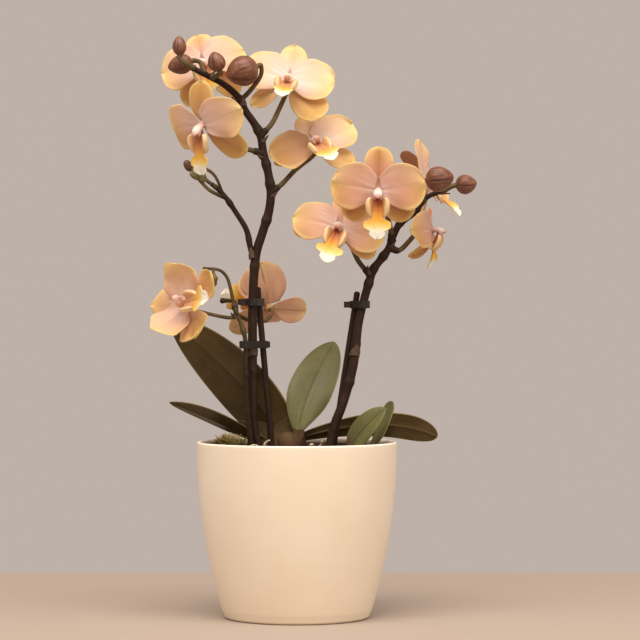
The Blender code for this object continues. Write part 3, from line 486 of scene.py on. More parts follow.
def bed(reach, rings, height_at, keep_off):
    """A round patch of surface to spread things on, marked 'free' where nothing stands in it."""
    patch = bmesh.new()
    bmesh.ops.create_grid(patch, x_segments=rings, y_segments=rings, size=reach)
    for point in patch.verts:
        point.co.z = height_at(point.co.x, point.co.y)
    made, free = as_mesh(patch, "bed"), []
    for point in made.vertices:
        x, y, _ = point.co
        clear = all(hypot(x - at, y - back) > room for at, back, room in keep_off)
        free.append(1.0 if clear and hypot(x, y) < reach else 0.0)
    mark(made, "free", free)
    return made


STEM_ROOM, STAKE_ROOM, LEFT_CROWN_ROOM, RIGHT_CROWN_ROOM = 0.0052, 0.0045, 0.0105, 0.0095
STANDING = [(*route[1][:2], STEM_ROOM) for route in (LEFT_SPIKE, LOW_SPIKE, RIGHT_SPIKE)]
STANDING += [(-0.0162, 0.0052, STAKE_ROOM), (0.0232, -0.0009, STAKE_ROOM)]
STANDING += [(*LEFT_CROWN[0][:2], LEFT_CROWN_ROOM), (*RIGHT_CROWN[0][:2], RIGHT_CROWN_ROOM)]
chips = grown(
    bed(0.0545, 60, heap_height, STANDING), SCATTER,
    {
        "Shapes": chip_shapes(7, random.Random(11)), "Spacing": 0.004, "Most": 90000.0, "Tilt": 0.3,
        "Smallest": 0.55, "Largest": 1.1, "Seed": 4, "Finish": PINE_BARK,
    },
)
placed("bark_filling", filling(), PINE_BARK, "bark", "potting_medium")
placed("bark_chips", chips, PINE_BARK, "bark")


# Moss: a dry cushion that grew at the left of the mouth, of short yellow-green shoots crowded on a low
# mound.


def dry_moss():
    """Dry moss: matt yellow-green shoots, browner at the foot and bleached at the tips."""
    finish, tree, shader = new_finish("dry_moss")
    where = add(tree, "TexCoord").outputs["Object"]
    patchy = add(tree, "TexNoise", {"Vector": where, "Scale": 300.0, "Detail": 2.0})
    height = add(tree, "SeparateXYZ", {0: where}).outputs["Z"]
    lift = add(tree, "MapRange", {0: height, 1: 0.112, 2: 0.121})
    mixed = add(tree, "Math", {0: lift, 1: 0.6, 2: -0.02}, operation="MULTIPLY_ADD")
    mixed = add(tree, "Math", {0: patchy, 1: 0.6, 2: mixed}, operation="MULTIPLY_ADD")
    tone = add(tree, "ValToRGB", {0: mixed}, stops=[(0.25, "43331B"), (0.5, "7A6836"), (0.85, "B6A26E")])
    feed(shader, {"Base Color": tone, "Roughness": 0.95})
    return finish


def moss_shoots(count, chance):
    """Single shoots of about 3 mm: a bent stem that is thickest in the middle."""
    group = bpy.data.collections.new("moss_shoots")
    for _ in range(count):
        shoot = bmesh.new()
        lean, way, tall = chance.uniform(0.2, 1.6), chance.uniform(0, 2 * pi), chance.uniform(0.8, 1.9)
        rings = []
        for level, wide in enumerate((0.00012, 0.00042, 0.00034, 0.00002)):
            up = level / 3
            off = lean * 0.0011 * up**2
            middle = Vector((cos(way) * off, sin(way) * off, 0.0028 * tall * up))
            turn = level * 0.5
            corners = (turn + a * 2.094 for a in range(3))
            rings.append([shoot.verts.new(middle + wide * Vector((cos(a), sin(a), 0))) for a in corners])
        for low, high in zip(rings, rings[1:]):
            for i in range(3):
                shoot.faces.new((low[i], low[(i + 1) % 3], high[(i + 1) % 3], high[i]))
        shoot.faces.new(rings[0][::-1])
        shoot.faces.new(rings[-1])
        group.objects.link(bpy.data.objects.new("shoot", as_mesh(shoot, "shoot")))
    return group


def moss_mound(wide=0.0092, deep=0.0108):
    """The low mound that the shoots stand on, closed below."""
    mound = bmesh.new()
    bmesh.ops.create_uvsphere(mound, u_segments=40, v_segments=24, radius=1.0)
    # Blender makes the sphere's faces in another order each run, and the shoots are spread face by face
    mound.faces.sort(
        key=lambda face: sum(
            1000**i * at for i, at in enumerate(sorted(point.index for point in face.verts))
        )
    )
    for point in mound.verts:
        x, y, z = point.co
        lump = 1 + 0.6 * noise.noise(Vector((x * 2.2, y * 2.2, 5.0))) - 0.35 * x
        point.co = Vector(MOSS_MIDDLE) + Vector((x * wide, y * deep, z * 0.003 * lump))
    made, free = as_mesh(mound, "mound"), []
    for point in made.vertices:
        tuft = noise.noise(point.co * 420) - 25 * (point.co.x - MOSS_MIDDLE[0])
        free.append(min(1.0, max(0.12, 0.5 + 2.2 * tuft)) if point.co.z > MOSS_MIDDLE[2] - 0.0004 else 0.0)
    mark(made, "free", free)
    return made


DRY_MOSS = dry_moss()
shoots = grown(
    moss_mound(), SCATTER,
    {
        "Shapes": moss_shoots(6, random.Random(5)), "Spacing": 0.00046, "Most": 9000000.0, "Tilt": 0.75,
        "Smallest": 0.45, "Largest": 1.25, "Seed": 9, "Finish": DRY_MOSS,
    },
)
placed("moss_mound", moss_mound(), DRY_MOSS, "moss", "moss")
placed("moss_shoots", shoots, DRY_MOSS, "moss")


# Leaves: thick strap leaves, stiff as leather, with one channel above and a keel below. They leave the crown
# in two ranks. Their undersides are olive brown to purple, the upper sides grey-green.


def new_skin():
    """Closed skins gathered for one mesh. Each point keeps its place on its blade or body and its marks."""
    return SimpleNamespace(points=[], faces=[], uv=[], front=[], part=[], grain=[])


def skin_mesh(skin):
    made = bpy.data.meshes.new("skin")
    made.from_pydata(skin.points, [], skin.faces)
    layer = made.uv_layers.new(name="blade")
    for loop, spot in zip(made.loops, layer.data):
        spot.uv = skin.uv[loop.vertex_index]
    mark(made, "front", skin.front)
    mark(made, "part", skin.part)
    flat = [number for spot in skin.grain for number in spot]
    made.attributes.new("grain", "FLOAT_VECTOR", "POINT").data.foreach_set("vector", flat)
    made.shade_smooth()
    made.update()
    return made


def blade(skin, across, along, place, thick, facing=1, part=0.0):
    """Adds a thin closed blade. place(s, t) gives its middle, s from -1 to 1 across it and t from 0 to 1
    along it, and thick(s, t) its thickness there. facing is 1 where its front looks along across x along."""
    first, size = len(skin.points), (across + 1) * (along + 1)
    grid = [[place(2 * i / across - 1, j / along) for i in range(across + 1)] for j in range(along + 1)]
    for side in (1, -1):
        for j in range(along + 1):
            for i in range(across + 1):
                east = grid[j][min(i + 1, across)] - grid[j][max(i - 1, 0)]
                north = grid[min(j + 1, along)][i] - grid[max(j - 1, 0)][i]
                out = east.cross(north).normalized() * (side * thick(2 * i / across - 1, j / along) / 2)
                skin.points.append(grid[j][i] + out)
                skin.uv.append((i / across, j / along))
                skin.grain.append((i / across, j / along, 0.0))
                skin.front.append(1.0 if side == facing else 0.0)
                skin.part.append(part)
    for j in range(along):
        for i in range(across):
            a = first + j * (across + 1) + i
            b, c, d = a + 1, a + across + 2, a + across + 1
            skin.faces.append((a, b, c, d))
            skin.faces.append((d + size, c + size, b + size, a + size))
    rim = [(i, 0) for i in range(across)] + [(across, j) for j in range(along)]
    rim += [(across - i, along) for i in range(across)] + [(0, along - j) for j in range(along)]
    rim = [first + j * (across + 1) + i for i, j in rim]
    for a, b in zip(rim, rim[1:] + rim[:1]):
        skin.faces.append((a, a + size, b + size, b))


def outline(t, root, widest, point, blunt=0.03):
    """Half-width of a blade as a share of its greatest: root at t = 0 and 1 at t = widest. The tip is round
    where point is 0.5, and sharper above that."""
    if t <= widest:
        return root + (1 - root) * sin(pi / 2 * t / widest)
    rest = (t - widest) / (1 - widest)
    return max(blunt, (1 - rest**2.2) ** point if rest < 1 else 0)


def bezier(points, t):
    """Place and direction on a cubic Bezier curve."""
    a, b, c, d = (Vector(p) for p in points)
    u = 1 - t
    place = a * u**3 + b * 3 * u**2 * t + c * 3 * u * t**2 + d * t**3
    direction = (b - a) * u**2 + (c - b) * 2 * u * t + (d - c) * t**2
    return place, direction.normalized()


def leaf_cuticle(name, upper, upper_light, under, under_light, rib, margin):
    """Waxed leaf skin: low sheen, faint parallel veins, a marked midrib and a paler edge."""
    finish, tree, shader = new_finish(name)
    place = add(tree, "UVMap", uv_map="blade")
    split = add(tree, "SeparateXYZ", {0: place})
    where = add(tree, "TexCoord").outputs["Object"]
    front = add(tree, "Attribute", attribute_name="front").outputs["Fac"]
    cloud = add(tree, "TexNoise", {"Vector": where, "Scale": 70.0, "Detail": 5.0, "Roughness": 0.6})
    veins = streaked(tree, place, (46.0, 2.2, 1.0), 3.0)
    fleck = add(tree, "TexNoise", {"Vector": where, "Scale": 900.0, "Detail": 2.0})
    mixed = add(tree, "Math", {0: veins, 1: 0.45, 2: -0.1}, operation="MULTIPLY_ADD")
    mixed = add(tree, "Math", {0: cloud, 1: 0.75, 2: mixed}, operation="MULTIPLY_ADD")
    sides = []
    for dark, light in ((upper, upper_light), (under, under_light)):
        tone = add(tree, "ValToRGB", {0: mixed}, stops=[(0.3, dark), (0.72, light)])
        sides.append(tone)
    skin = add(tree, "Mix", {0: front, 6: sides[1], 7: sides[0]}, data_type="RGBA")
    off = add(tree, "Math", {0: split.outputs["X"], 1: 0.5}, operation="SUBTRACT")
    off = add(tree, "Math", {0: off}, operation="ABSOLUTE")
    line = add(tree, "MapRange", {0: off, 2: 0.028, 3: 0.75, 4: 0.0})
    fade = add(tree, "MapRange", {0: split.outputs["Y"], 1: 0.5, 2: 0.92, 3: 1.0, 4: 0.15})
    line = add(tree, "Math", {0: line, 1: fade}, operation="MULTIPLY")
    ribbed = add(tree, "Mix", {0: line, 6: skin, 7: rib}, data_type="RGBA")
    edge = add(tree, "MapRange", {0: off, 1: 0.465, 2: 0.5, 4: 0.8})
    colour = add(tree, "Mix", {0: edge, 6: ribbed, 7: margin}, data_type="RGBA")
    gloss = add(tree, "MapRange", {0: cloud, 1: 0.3, 2: 0.7, 3: 0.36, 4: 0.52})
    low = add(tree, "Bump", {"Strength": 0.35, "Distance": 0.0004, "Height": veins})
    fine = add(tree, "Bump", {"Strength": 0.2, "Distance": 0.0001, "Height": fleck, "Normal": low})
    feed(shader, {"Base Color": colour, "Roughness": gloss, "Normal": fine, "Specular IOR Level": 0.26})
    return finish


LEAF_FINISHES = {
    "leaf_green": leaf_cuticle(
        "leaf_cuticle_green", "55562F", "716E45", "574E2D", "6E643C", "454625", "8F8A5C"
    ),
    "leaf_dark": leaf_cuticle(
        "leaf_cuticle_dark", "40401E", "605B2C", "42331A", "5E4C26", "2C2010", "7C6E36"
    ),
}

# Spine, the way the upper face looks at the foot and at the tip, and the outline
LEAVES = {
    "leaf_large_left": dict(
        spine=[
            (-0.007, 0.0156, 0.1128), (-0.0215, 0.014, 0.1345), (-0.048, 0.011, 0.165),
            (-0.0825, 0.01, 0.193),
        ],
        faces=((0.1, 1, 0.25), (0.1, 1, 0.35)), width=0.0365, root=0.55, widest=0.45, point=0.6, fold=0.1,
        slant=0.24, slot="leaf_dark",
    ),
    "leaf_low_left": dict(
        spine=[
            (-0.0135, 0.0122, 0.112), (-0.03, 0.0185, 0.1145), (-0.057, 0.017, 0.131),
            (-0.083, 0.008, 0.1392),
        ],
        faces=((0.2, 0.45, 1), (0.1, 0.45, 1)), width=0.0215, root=0.22, widest=0.6, point=0.6, fold=0.18,
        slot="leaf_dark",
    ),
    "leaf_upright_middle": dict(
        spine=[
            (0.0005, 0.005, 0.1195), (0.0035, 0.0085, 0.14), (0.015, 0.0205, 0.16), (0.024, 0.033, 0.1785)
        ],
        faces=((0.0, -1, 0.15), (-0.1, -1, 0.5)), width=0.029, root=0.16, widest=0.46, point=0.62, fold=0.16,
        slot="leaf_green",
    ),
    "leaf_long_right": dict(
        spine=[
            (0.0022, 0.0112, 0.116), (0.03, 0.0165, 0.1245), (0.066, 0.016, 0.1285), (0.0915, 0.008, 0.117)
        ],
        faces=((0.0, 1, 0.6), (0.3, 1, 0.35)), width=0.018, root=0.3, widest=0.74, point=0.5, fold=0.14,
        slot="leaf_dark",
    ),
    "leaf_front_right": dict(
        spine=[
            (0.0365, -0.0145, 0.113), (0.04, -0.0185, 0.119), (0.047, -0.0208, 0.1283),
            (0.0572, -0.0226, 0.1363),
        ],
        faces=((-0.3, -1, 0.7), (-0.2, -1, 0.8)), width=0.017, root=0.88, widest=0.45, point=0.6, fold=0.3,
        slot="leaf_green",
    ),
    "leaf_narrow_right": dict(
        spine=[
            (0.0463, -0.009, 0.1094), (0.0535, -0.0085, 0.115), (0.0585, -0.007, 0.13),
            (0.0616, -0.008, 0.1402),
        ],
        faces=((-1, -0.55, 0.3), (-1, -0.85, 0.3)), width=0.0115, root=0.5, widest=0.74, point=0.42,
        fold=0.25, slot="leaf_green",
    ),
}
LEAF_THICKNESS, LEAF_KEEL, SHEATH_THICKNESS = 0.0015, 0.0007, 0.0013


def leaf_form(leaf_shape):
    """A strap leaf with a channelled midrib, as the middle and the thickness of its blade. One side of a
    slanted foot starts further up."""
    shape = SimpleNamespace(**{"slant": 0, **leaf_shape})
    foot_face, tip_face = (Vector(face).normalized() for face in shape.faces)

    def place(s, t):
        start = shape.slant * max(0, s)
        t = start + (1 - start) * (1 - (1 - t) ** 1.25)
        point, direction = bezier(shape.spine, t)
        face = foot_face.lerp(tip_face, t)
        across = direction.cross(face).normalized()
        upper = across.cross(direction).normalized()
        half = shape.width / 2 * outline(t, shape.root, shape.widest, shape.point)
        lift = shape.fold * half * (sqrt(s * s + 0.012) - 0.11)
        roll = 0.1 * half * s**4
        wave = 0.00035 * sin(7 * t + 2.5 * s) * s * s
        groove = -0.00045 * exp(-((s / 0.07) ** 2))
        return point + across * (s * half) + upper * (lift - roll + wave + groove)

    def thick(s, t):
        keel = LEAF_KEEL * exp(-((s / 0.16) ** 2)) * (1 - 0.7 * t)
        return (LEAF_THICKNESS + keel) * (1 - 0.55 * abs(s) ** 3) * (1 - 0.5 * t**5)

    return place, thick


for node, leaf_shape in LEAVES.items():
    skin = new_skin()
    blade(skin, 36, 90, *leaf_form(leaf_shape))
    placed(node + "_blade", skin_mesh(skin), LEAF_FINISHES[leaf_shape["slot"]], leaf_shape["slot"], node)


# Crowns: the short stems that the leaves grow from, standing in the bark. The leaf bases close round them
# like sheaths, brown and fibrous where they are old.


def body(skin, spine, widths, sides, part=0.0, shape=None, up=(0, 0, 1)):
    """Adds a closed round body along a spine. widths gives (across, deep) at each point, and shape(angle, t)
    a share of them. The ends are drawn to a point."""
    first = len(skin.points)
    spine = [Vector(p) for p in spine]
    side = None
    along = 0.0
    for j, centre in enumerate(spine):
        ahead = (spine[min(j + 1, len(spine) - 1)] - spine[max(j - 1, 0)]).normalized()
        if side is None:
            upright = abs(ahead.dot(Vector(up))) >= 0.99
            side = Vector((1, 0, 0)) if upright else ahead.cross(Vector(up)).normalized()
        side = (side - ahead * side.dot(ahead)).normalized()
        deep = side.cross(ahead).normalized()
        along += (centre - spine[j - 1]).length if j else 0
        t = j / (len(spine) - 1)
        wide, thick = widths[j]
        for i in range(sides):
            angle = 2 * pi * i / sides
            share = shape(angle, t) if shape else 1
            x, y = wide * share * cos(angle), thick * share * sin(angle)
            skin.points.append(centre + side * x + deep * y)
            skin.uv.append((i / sides, t))
            skin.grain.append((wide * cos(angle), thick * sin(angle), along))
            skin.front.append(1.0)
            skin.part.append(part)
    for j in range(len(spine) - 1):
        for i in range(sides):
            a, b = first + j * sides + i, first + j * sides + (i + 1) % sides
            skin.faces.append((a, a + sides, b + sides, b))
    skin.faces.append([first + i for i in range(sides)])
    last = first + (len(spine) - 1) * sides
    skin.faces.append([last + i for i in range(sides)][::-1])


def egg(skin, centre, radii, sides=48, rings=28, part=0.0, shape=None, axis=(0, 0, 1)):
    """Adds an egg-shaped closed body with its long axis along axis."""
    axis = Vector(axis).normalized()
    spine, widths = [], []
    for j in range(rings + 1):
        angle = pi * (0.02 + 0.96 * j / rings)
        spine.append(Vector(centre) - axis * radii[2] * cos(angle))
        widths.append((radii[0] * sin(angle), radii[1] * sin(angle)))
    body(skin, spine, widths, sides, part, shape, (0, 1, 0.01))


def leaf_sheath():
    """Old leaf sheaths: reddish brown turning olive upwards, fibrous along their length, a little waxy."""
    finish, tree, shader = new_finish("leaf_sheath")
    grain = add(tree, "Attribute", attribute_name="grain").outputs["Vector"]
    fibres = streaked(tree, grain, (900.0, 900.0, 90.0), 4.0)
    height = add(tree, "SeparateXYZ", {0: add(tree, "TexCoord").outputs["Object"]})
    up = add(tree, "MapRange", {0: height.outputs["Z"], 1: 0.109, 2: 0.121, 4: 0.6})
    mixed = add(tree, "Math", {0: fibres, 1: 0.6, 2: up}, operation="MULTIPLY_ADD")
    tone = add(
        tree, "ValToRGB", {0: mixed},
        stops=[(0.15, "2E2118"), (0.42, "573A28"), (0.68, "5A4228"), (0.95, "4A3A1E")],
    )
    ridge = add(tree, "Bump", {"Strength": 0.6, "Distance": 0.0004, "Height": fibres})
    feed(shader, {"Base Color": tone, "Roughness": 0.65, "Specular IOR Level": 0.25, "Normal": ridge})
    return finish


def sheath(skin, leaf_name, spot, at, middle, wrap, low, reach=1.0):
    """A leaf's base: it starts on the back of the blade, at this share of its length, and closes round the
    crown down to a height in the bark. middle and wrap are degrees round the crown."""
    centre, radii = spot
    place, _ = leaf_form(LEAVES[leaf_name])

    def ring(s):
        turn = radians(middle + wrap * s)
        return Vector(
            (centre[0] + reach * radii[0] * cos(turn), centre[1] + reach * radii[1] * sin(turn), low)
        )

    way = 1 if (ring(1) - ring(-1)).dot(place(1, at) - place(-1, at)) > 0 else -1

    def point(s, t):
        foot, top = ring(way * s), place(0.94 * s, at)
        out = Vector((cos(radians(middle)), sin(radians(middle)), 0)) * 0.0011
        turned_in = foot.lerp(top + out, t * t * (3 - 2 * t))
        return Vector((turned_in.x, turned_in.y, low + (top.z - low) * t + 0.0004 * sin(5 * s)))

    blade(skin, 28, 22, point, lambda s, t: SHEATH_THICKNESS * (1 - 0.6 * abs(s) ** 3) * (1 - 0.7 * t**4))


def crown(name, node, spot, *bases):
    """A crown in three wraps, each with a soft ridge down its back, and the bases of its leaves."""
    centre, radii = Vector(spot[0]), Vector(spot[1])
    skin = new_skin()
    wraps = ((0, 0, 1.0, 0.6), (0.18, 0.1, 0.78, 2.3), (-0.22, -0.16, 0.72, 4.4))
    for x, y, size, start in wraps:

        def folded(angle, t, start=start):
            ridge = 0.1 * exp(-(((angle - start) % (2 * pi) - pi) ** 2) * 3)
            return 1 + ridge * sin(pi * t) - 0.05 * cos(2 * angle + start)

        middle = centre + Vector((x * radii.x, y * radii.y, radii.z * (1 - size) * 0.9))
        egg(skin, middle, radii * size * 0.93, shape=folded)
    for base in bases:
        sheath(skin, base[0], spot, *base[1:])
    placed(name, skin_mesh(skin), LEAF_SHEATH, "crown", node)


LEAF_SHEATH = leaf_sheath()
crown(
    "left_crown_wraps", "left_crown", LEFT_CROWN, ("leaf_large_left", 0.13, 266, 88, 0.1, 1.22),
    ("leaf_upright_middle", 0.03, 296, 26, 0.106, 0.95), ("leaf_long_right", 0.02, 10, 55, 0.102),
    ("leaf_low_left", 0.02, 150, 34, 0.101, 0.98),
)
crown(
    "right_crown_wraps", "right_crown", RIGHT_CROWN, ("leaf_front_right", 0.03, 262, 70, 0.098),
    ("leaf_narrow_right", 0.04, 5, 55, 0.098),
)


# Root ends: a few thin roots have grown out of the bark and dried, so their curled ends are pale and papery.


def root_ends(chance):
    """Short bent tubes with round ends at the front of the heap, each curling over by chance."""
    skin = new_skin()
    for x, y, z in ROOT_ENDS:
        spine, widths = [Vector((x, y, z - 0.004))], [(0.0006, 0.0006)]
        way = Vector((chance.uniform(-0.6, 0.6), -0.3, 1.0))
        for step in range(12):
            way = (way + Vector((chance.uniform(-0.5, 0.5), chance.uniform(-0.3, 0.2), -0.11))).normalized()
            spine.append(spine[-1] + way * 0.001)
            widths.append((0.0009 * (1 - 0.5 * (step / 11) ** 3), 0.0007 * (1 - 0.5 * (step / 11) ** 3)))
        body(skin, spine, widths, 10)
    return skin_mesh(skin)


ROOT_ENDS = [
    (-0.0232, -0.02, 0.1125), (-0.0215, -0.0215, 0.111), (0.008, -0.021, 0.1118), (0.01, -0.0225, 0.1128),
    (0.0125, -0.02, 0.112), (0.0045, -0.021, 0.1105),
]
# dried root skin: chalky cream, brown where it is cracked
DRY_ROOT = plain_finish(
    "dry_root", [(0.35, "8C7454"), (0.5, "D9C9A6"), (0.7, "F1E8D2")], 0.85, (0.5, 0.0002), 900.0
)
placed("dry_root_ends", root_ends(random.Random(3)), DRY_ROOT, "bark")


# Blooms and buds: where each one sits, which its stalk needs. A bloom has its centre, the way it faces
# (azimuth to the right of front, then upwards), its roll, its size, how far its tepals lean back, how far
# its lip swings, how creamy it has aged, how ruffled and how pointed its tepals are, which of them are
# wholly painted olive gold or dull brown as shade, how wide and how pale its lip is, and how large its
# column. Tepals of its own kind have degrees of swing, extra bend, shares of the usual width and length,
# and degrees of twist.


USUAL = dict(lip=0, cream=0.2, ruffle=1.0, tip=0.5, gold=(), brown=(), wings=1.0, rod=1.0)


def bloom_spot(centre, azimuth, upwards, roll, size=1.0, lean=0.0, **own):
    turn = Matrix.Rotation(radians(azimuth), 4, "Z") @ Matrix.Rotation(radians(-upwards), 4, "X")
    turn = turn @ Matrix.Rotation(radians(roll), 4, "Y")
    place = Matrix.Translation(centre) @ turn @ Matrix.Scale(size, 4)
    own = {**USUAL, "pale": own.get("cream", USUAL["cream"]), **own}
    return SimpleNamespace(place=place, size=size, lean=lean, **own)


BLOOMS = [
    bloom_spot(
        (-0.0611, 0.012, 0.3602), -8, 18, -16, 1.0, 0.2, cream=0.55, gold=("lower_left", "lower_right"),
        right_petal=(4, 0.1, 0.94),
    ),
    bloom_spot(
        (-0.0058, 0.002, 0.3487), 2, 26, 12, 1.0, -0.13, lip=24, cream=1.0, gold=("lower_right",), wings=0.5,
        lower_right=(11, -0.06, 1.35, 1.2, 1), lower_left=(-4, 0.12, 0.75),
    ),
    bloom_spot(
        (-0.0604, -0.028, 0.318), -34, -24, 2, 1.0, 0.2, cream=0.6, gold=("upper_sepal", "lower_right"),
        wings=0.55, left_petal=(16, 0, 1), right_petal=(5, 0, 0.93), lower_right=(6, -0.15, 1.2, 1.14, 1),
    ),
    bloom_spot(
        (0.0112, 0.004, 0.3075), 2, 34, -24, 1.0, -0.03, lip=12, cream=1.0,
        gold=("left_petal", "lower_left"), wings=0.8, upper_sepal=(-14, 0, 1), lower_left=(-46, 0, 0.7),
        left_petal=(6, 0, 0.95),
    ),
    bloom_spot(
        (0.0521, -0.034, 0.2755), -3, -8, 1, cream=0.05, lower_left=(-12, 0, 1.15, 0.93, 1),
        lower_right=(12, 0, 1.15, 0.93, 1),
    ),
    bloom_spot(
        (0.027, -0.016, 0.2525), 2, 20, 18, 1.0, 0.04, cream=0.25, gold=("lower_left",),
        left_petal=(12, 0, 0.88), lower_left=(-34, 0, 0.8), lower_right=(34, 0.1, 0.9),
    ),
    bloom_spot(
        (0.0872, 0.002, 0.2516), 78, 8, 0, 0.86, 0.28, lip=-40, cream=0.1, left_petal=(10, 0.1, 0.9),
        lower_left=(20, 0.4, 1), lower_right=(-20, 0.4, 1),
    ),
    bloom_spot(
        (0.0843, 0.026, 0.2831), 66, 8, -2, 0.97, 0.26, lip=22, cream=0.6, wings=0.7, pale=1.2,
        brown=("upper_sepal",), upper_sepal=(0, 0.22, 0.62, 1, -68), left_petal=(-77, -0.3, 0.72),
        lower_left=(0, 0, 1),
    ),
    bloom_spot(
        (-0.0713, -0.024, 0.2022), -40, 18, -92, 0.98, -0.3, cream=0.5, ruffle=2.2, tip=0.72, pale=1.5,
        rod=1.45, right_petal=(0, -0.36, 0.92), left_petal=(-12, -0.4, 1.0), upper_sepal=(0, 0, 1.3),
        lower_left=(-16, 0, 1.45), lower_right=(8, 0, 1.3),
    ),
    bloom_spot(
        (-0.0193, 0.026, 0.2016), 203, 22, -96, 1.0, -0.2, cream=0.1, left_petal=(0, -0.85, 0.8),
        lower_right=(0, -0.5, 1), right_petal=(-30, -0.15, 1),
    ),
]
HUB_BACK = 0.001 + 0.0034  # from a bloom's centre to the end of its stalk


def bud_spot(centre, axis, length, width):
    return SimpleNamespace(centre=Vector(centre), axis=Vector(axis).normalized(), length=length, width=width)


BUDS = {
    "bud_top": bud_spot((-0.0753, -0.02, 0.3692), (-0.05, 0, 1), 0.0125, 0.0087),
    "bud_top_left": bud_spot((-0.0755, -0.006, 0.3585), (-0.9, 0, -0.25), 0.0165, 0.0125),
    "bud_top_middle": bud_spot((-0.0514, -0.024, 0.3586), (-0.35, -0.1, 1), 0.013, 0.0112),
    "bud_top_large": bud_spot((-0.035, -0.024, 0.3524), (-0.9, -0.2, -0.3), 0.0212, 0.019),
    "bud_right_large": bud_spot((0.0918, -0.022, 0.2836), (1, -0.1, 0.15), 0.0182, 0.0158),
    "bud_right_tip": bud_spot((0.1095, -0.009, 0.2808), (1, 0, 0.12), 0.0138, 0.0124),
    "bud_side_branch": bud_spot((-0.064, -0.011, 0.288), (-0.75, 0, 0.65), 0.011, 0.0085),
}


def back_of(number, beyond=0.0):
    """A point behind a bloom, at the end of its stalk or further back."""
    spot = BLOOMS[number - 1]
    return spot.place @ Vector((0, HUB_BACK + beyond / spot.size, 0))


def foot_of(name, beyond=0.0):
    """A point at the foot of a bud, or further off."""
    spot = BUDS[name]
    return spot.centre - spot.axis * (spot.length / 2 - 0.0006 + beyond)


# Flower spikes: dark brown woody stems with swollen joints. Each joint carries a small dry scale and a
# stalk, and the stalks turn olive towards the flower. All of one spike is one growth.


def through(points, step=0.0006):
    """Points about a step apart on a smooth curve through the given ones."""
    points = [Vector(p) for p in points]
    ends = [2 * points[0] - points[1], *points, 2 * points[-1] - points[-2]]
    found = []
    for before, start, end, after in zip(ends, ends[1:], ends[2:], ends[3:]):
        pieces = max(1, round((end - start).length / step))
        for i in range(pieces):
            t = i / pieces
            cubic = 3 * start - 3 * end + after - before
            square = 2 * before - 5 * start + 4 * end - after
            found.append(0.5 * (2 * start + (end - before) * t + square * t**2 + cubic * t**3))
    return [*found, points[-1]]


def stem(
    route, start, end, joints=(), tone=(0.0, 0.0), flare=0.0, swell=0.0, hold=1.0, stub=0.0, round_end=False
):
    """A stem's line: its route, its radii, its joints as (share of the length, extra radius), its tone from
    brown 0 to olive 1, a flare where it leaves another stem, a swelling below its flower, how long it holds
    its first radius, the length of the thicker brown stub that a stalk starts with, and whether its end is
    round."""
    return SimpleNamespace(
        route=through(route), start=start, end=end, joints=joints, tone=tone, flare=flare, swell=swell,
        hold=hold, stub=stub, round_end=round_end,
    )


def wire(stems):
    """The lines of one growth as edges, marked with their girth and tone."""
    points, edges, girths, tones = [], [], [], []
    for line in stems:
        lengths = [0.0]
        for a, b in zip(line.route, line.route[1:]):
            lengths.append(lengths[-1] + (b - a).length)
        whole = lengths[-1]
        for i, (point, length) in enumerate(zip(line.route, lengths)):
            share = length / whole
            girth = line.start + (line.end - line.start) * share**line.hold
            girth += sum(most * exp(-(((share - at) * whole / 0.0024) ** 2)) for at, most in line.joints)
            girth *= 1 + line.flare * exp(-((length / 0.0022) ** 2))
            girth *= 1 + line.swell * exp(-(((whole - length) / 0.003) ** 2))
            beyond = 1 / (1 + exp((line.stub - length) / 0.00022)) if line.stub else 1.0
            girth *= 1 + 0.025 * noise.noise(point * 220) + 0.34 * (1 - beyond)
            if line.round_end and whole - length < girth:
                girth *= sqrt(max(0.01, 1 - (1 - (whole - length) / girth) ** 2))
            if i:
                edges.append((len(points) - 1, len(points)))
            points.append(point)
            girths.append(girth)
            tones.append((line.tone[0] + (line.tone[1] - line.tone[0]) * min(1.0, share * 1.6)) * beyond)
    made = bpy.data.meshes.new("wire")
    made.from_pydata(points, edges, [])
    mark(made, "girth", girths)
    mark(made, "tone", tones)
    return made


def stem_tree():
    """Draws a round skin along each line, as thick as its girth, and keeps a seamless grain for its
    finish."""
    tree, given, out = new_tree("stem_skin", Sides="Int", Finish="Material")
    lines = add(tree, "GeometryNodeMeshToCurve", {"Mesh": given["Geometry"]})
    length = add(tree, "GeometryNodeSplineParameter").outputs["Length"]
    around = add(tree, "GeometryNodeInputPosition")
    ring = add(tree, "GeometryNodeCurvePrimitiveCircle", {"Resolution": given["Sides"], "Radius": 1.0})
    store = "GeometryNodeStoreNamedAttribute"
    marked = add(tree, store, {"Geometry": lines, "Name": "along", "Value": length})
    ring = add(tree, store, {"Geometry": ring, "Name": "ring", "Value": around}, data_type="FLOAT_VECTOR")
    girth, along, round_way = (
        add(tree, "GeometryNodeInputNamedAttribute", {"Name": name}, data_type=kind)
        for name, kind in (("girth", "FLOAT"), ("along", "FLOAT"), ("ring", "FLOAT_VECTOR"))
    )
    skin = add(
        tree, "GeometryNodeCurveToMesh",
        {"Curve": marked, "Profile Curve": ring, "Scale": girth, "Fill Caps": True},
    )
    wide = add(tree, "VectorMath", {0: round_way, 3: 0.003}, operation="SCALE")
    up = add(tree, "CombineXYZ", {2: along})
    grain = add(tree, "VectorMath", {0: wide, 1: up}, operation="ADD")
    kept = add(tree, store, {"Geometry": skin, "Name": "grain", "Value": grain}, data_type="FLOAT_VECTOR")
    smooth = add(tree, "GeometryNodeSetShadeSmooth", {"Geometry": kept})
    real = add(tree, "GeometryNodeRealizeInstances", {"Geometry": smooth})
    dressed = add(tree, "GeometryNodeSetMaterial", {"Geometry": real, "Material": given["Finish"]})
    feed(out, {0: dressed})
    return tree


STEM_SKIN = stem_tree()


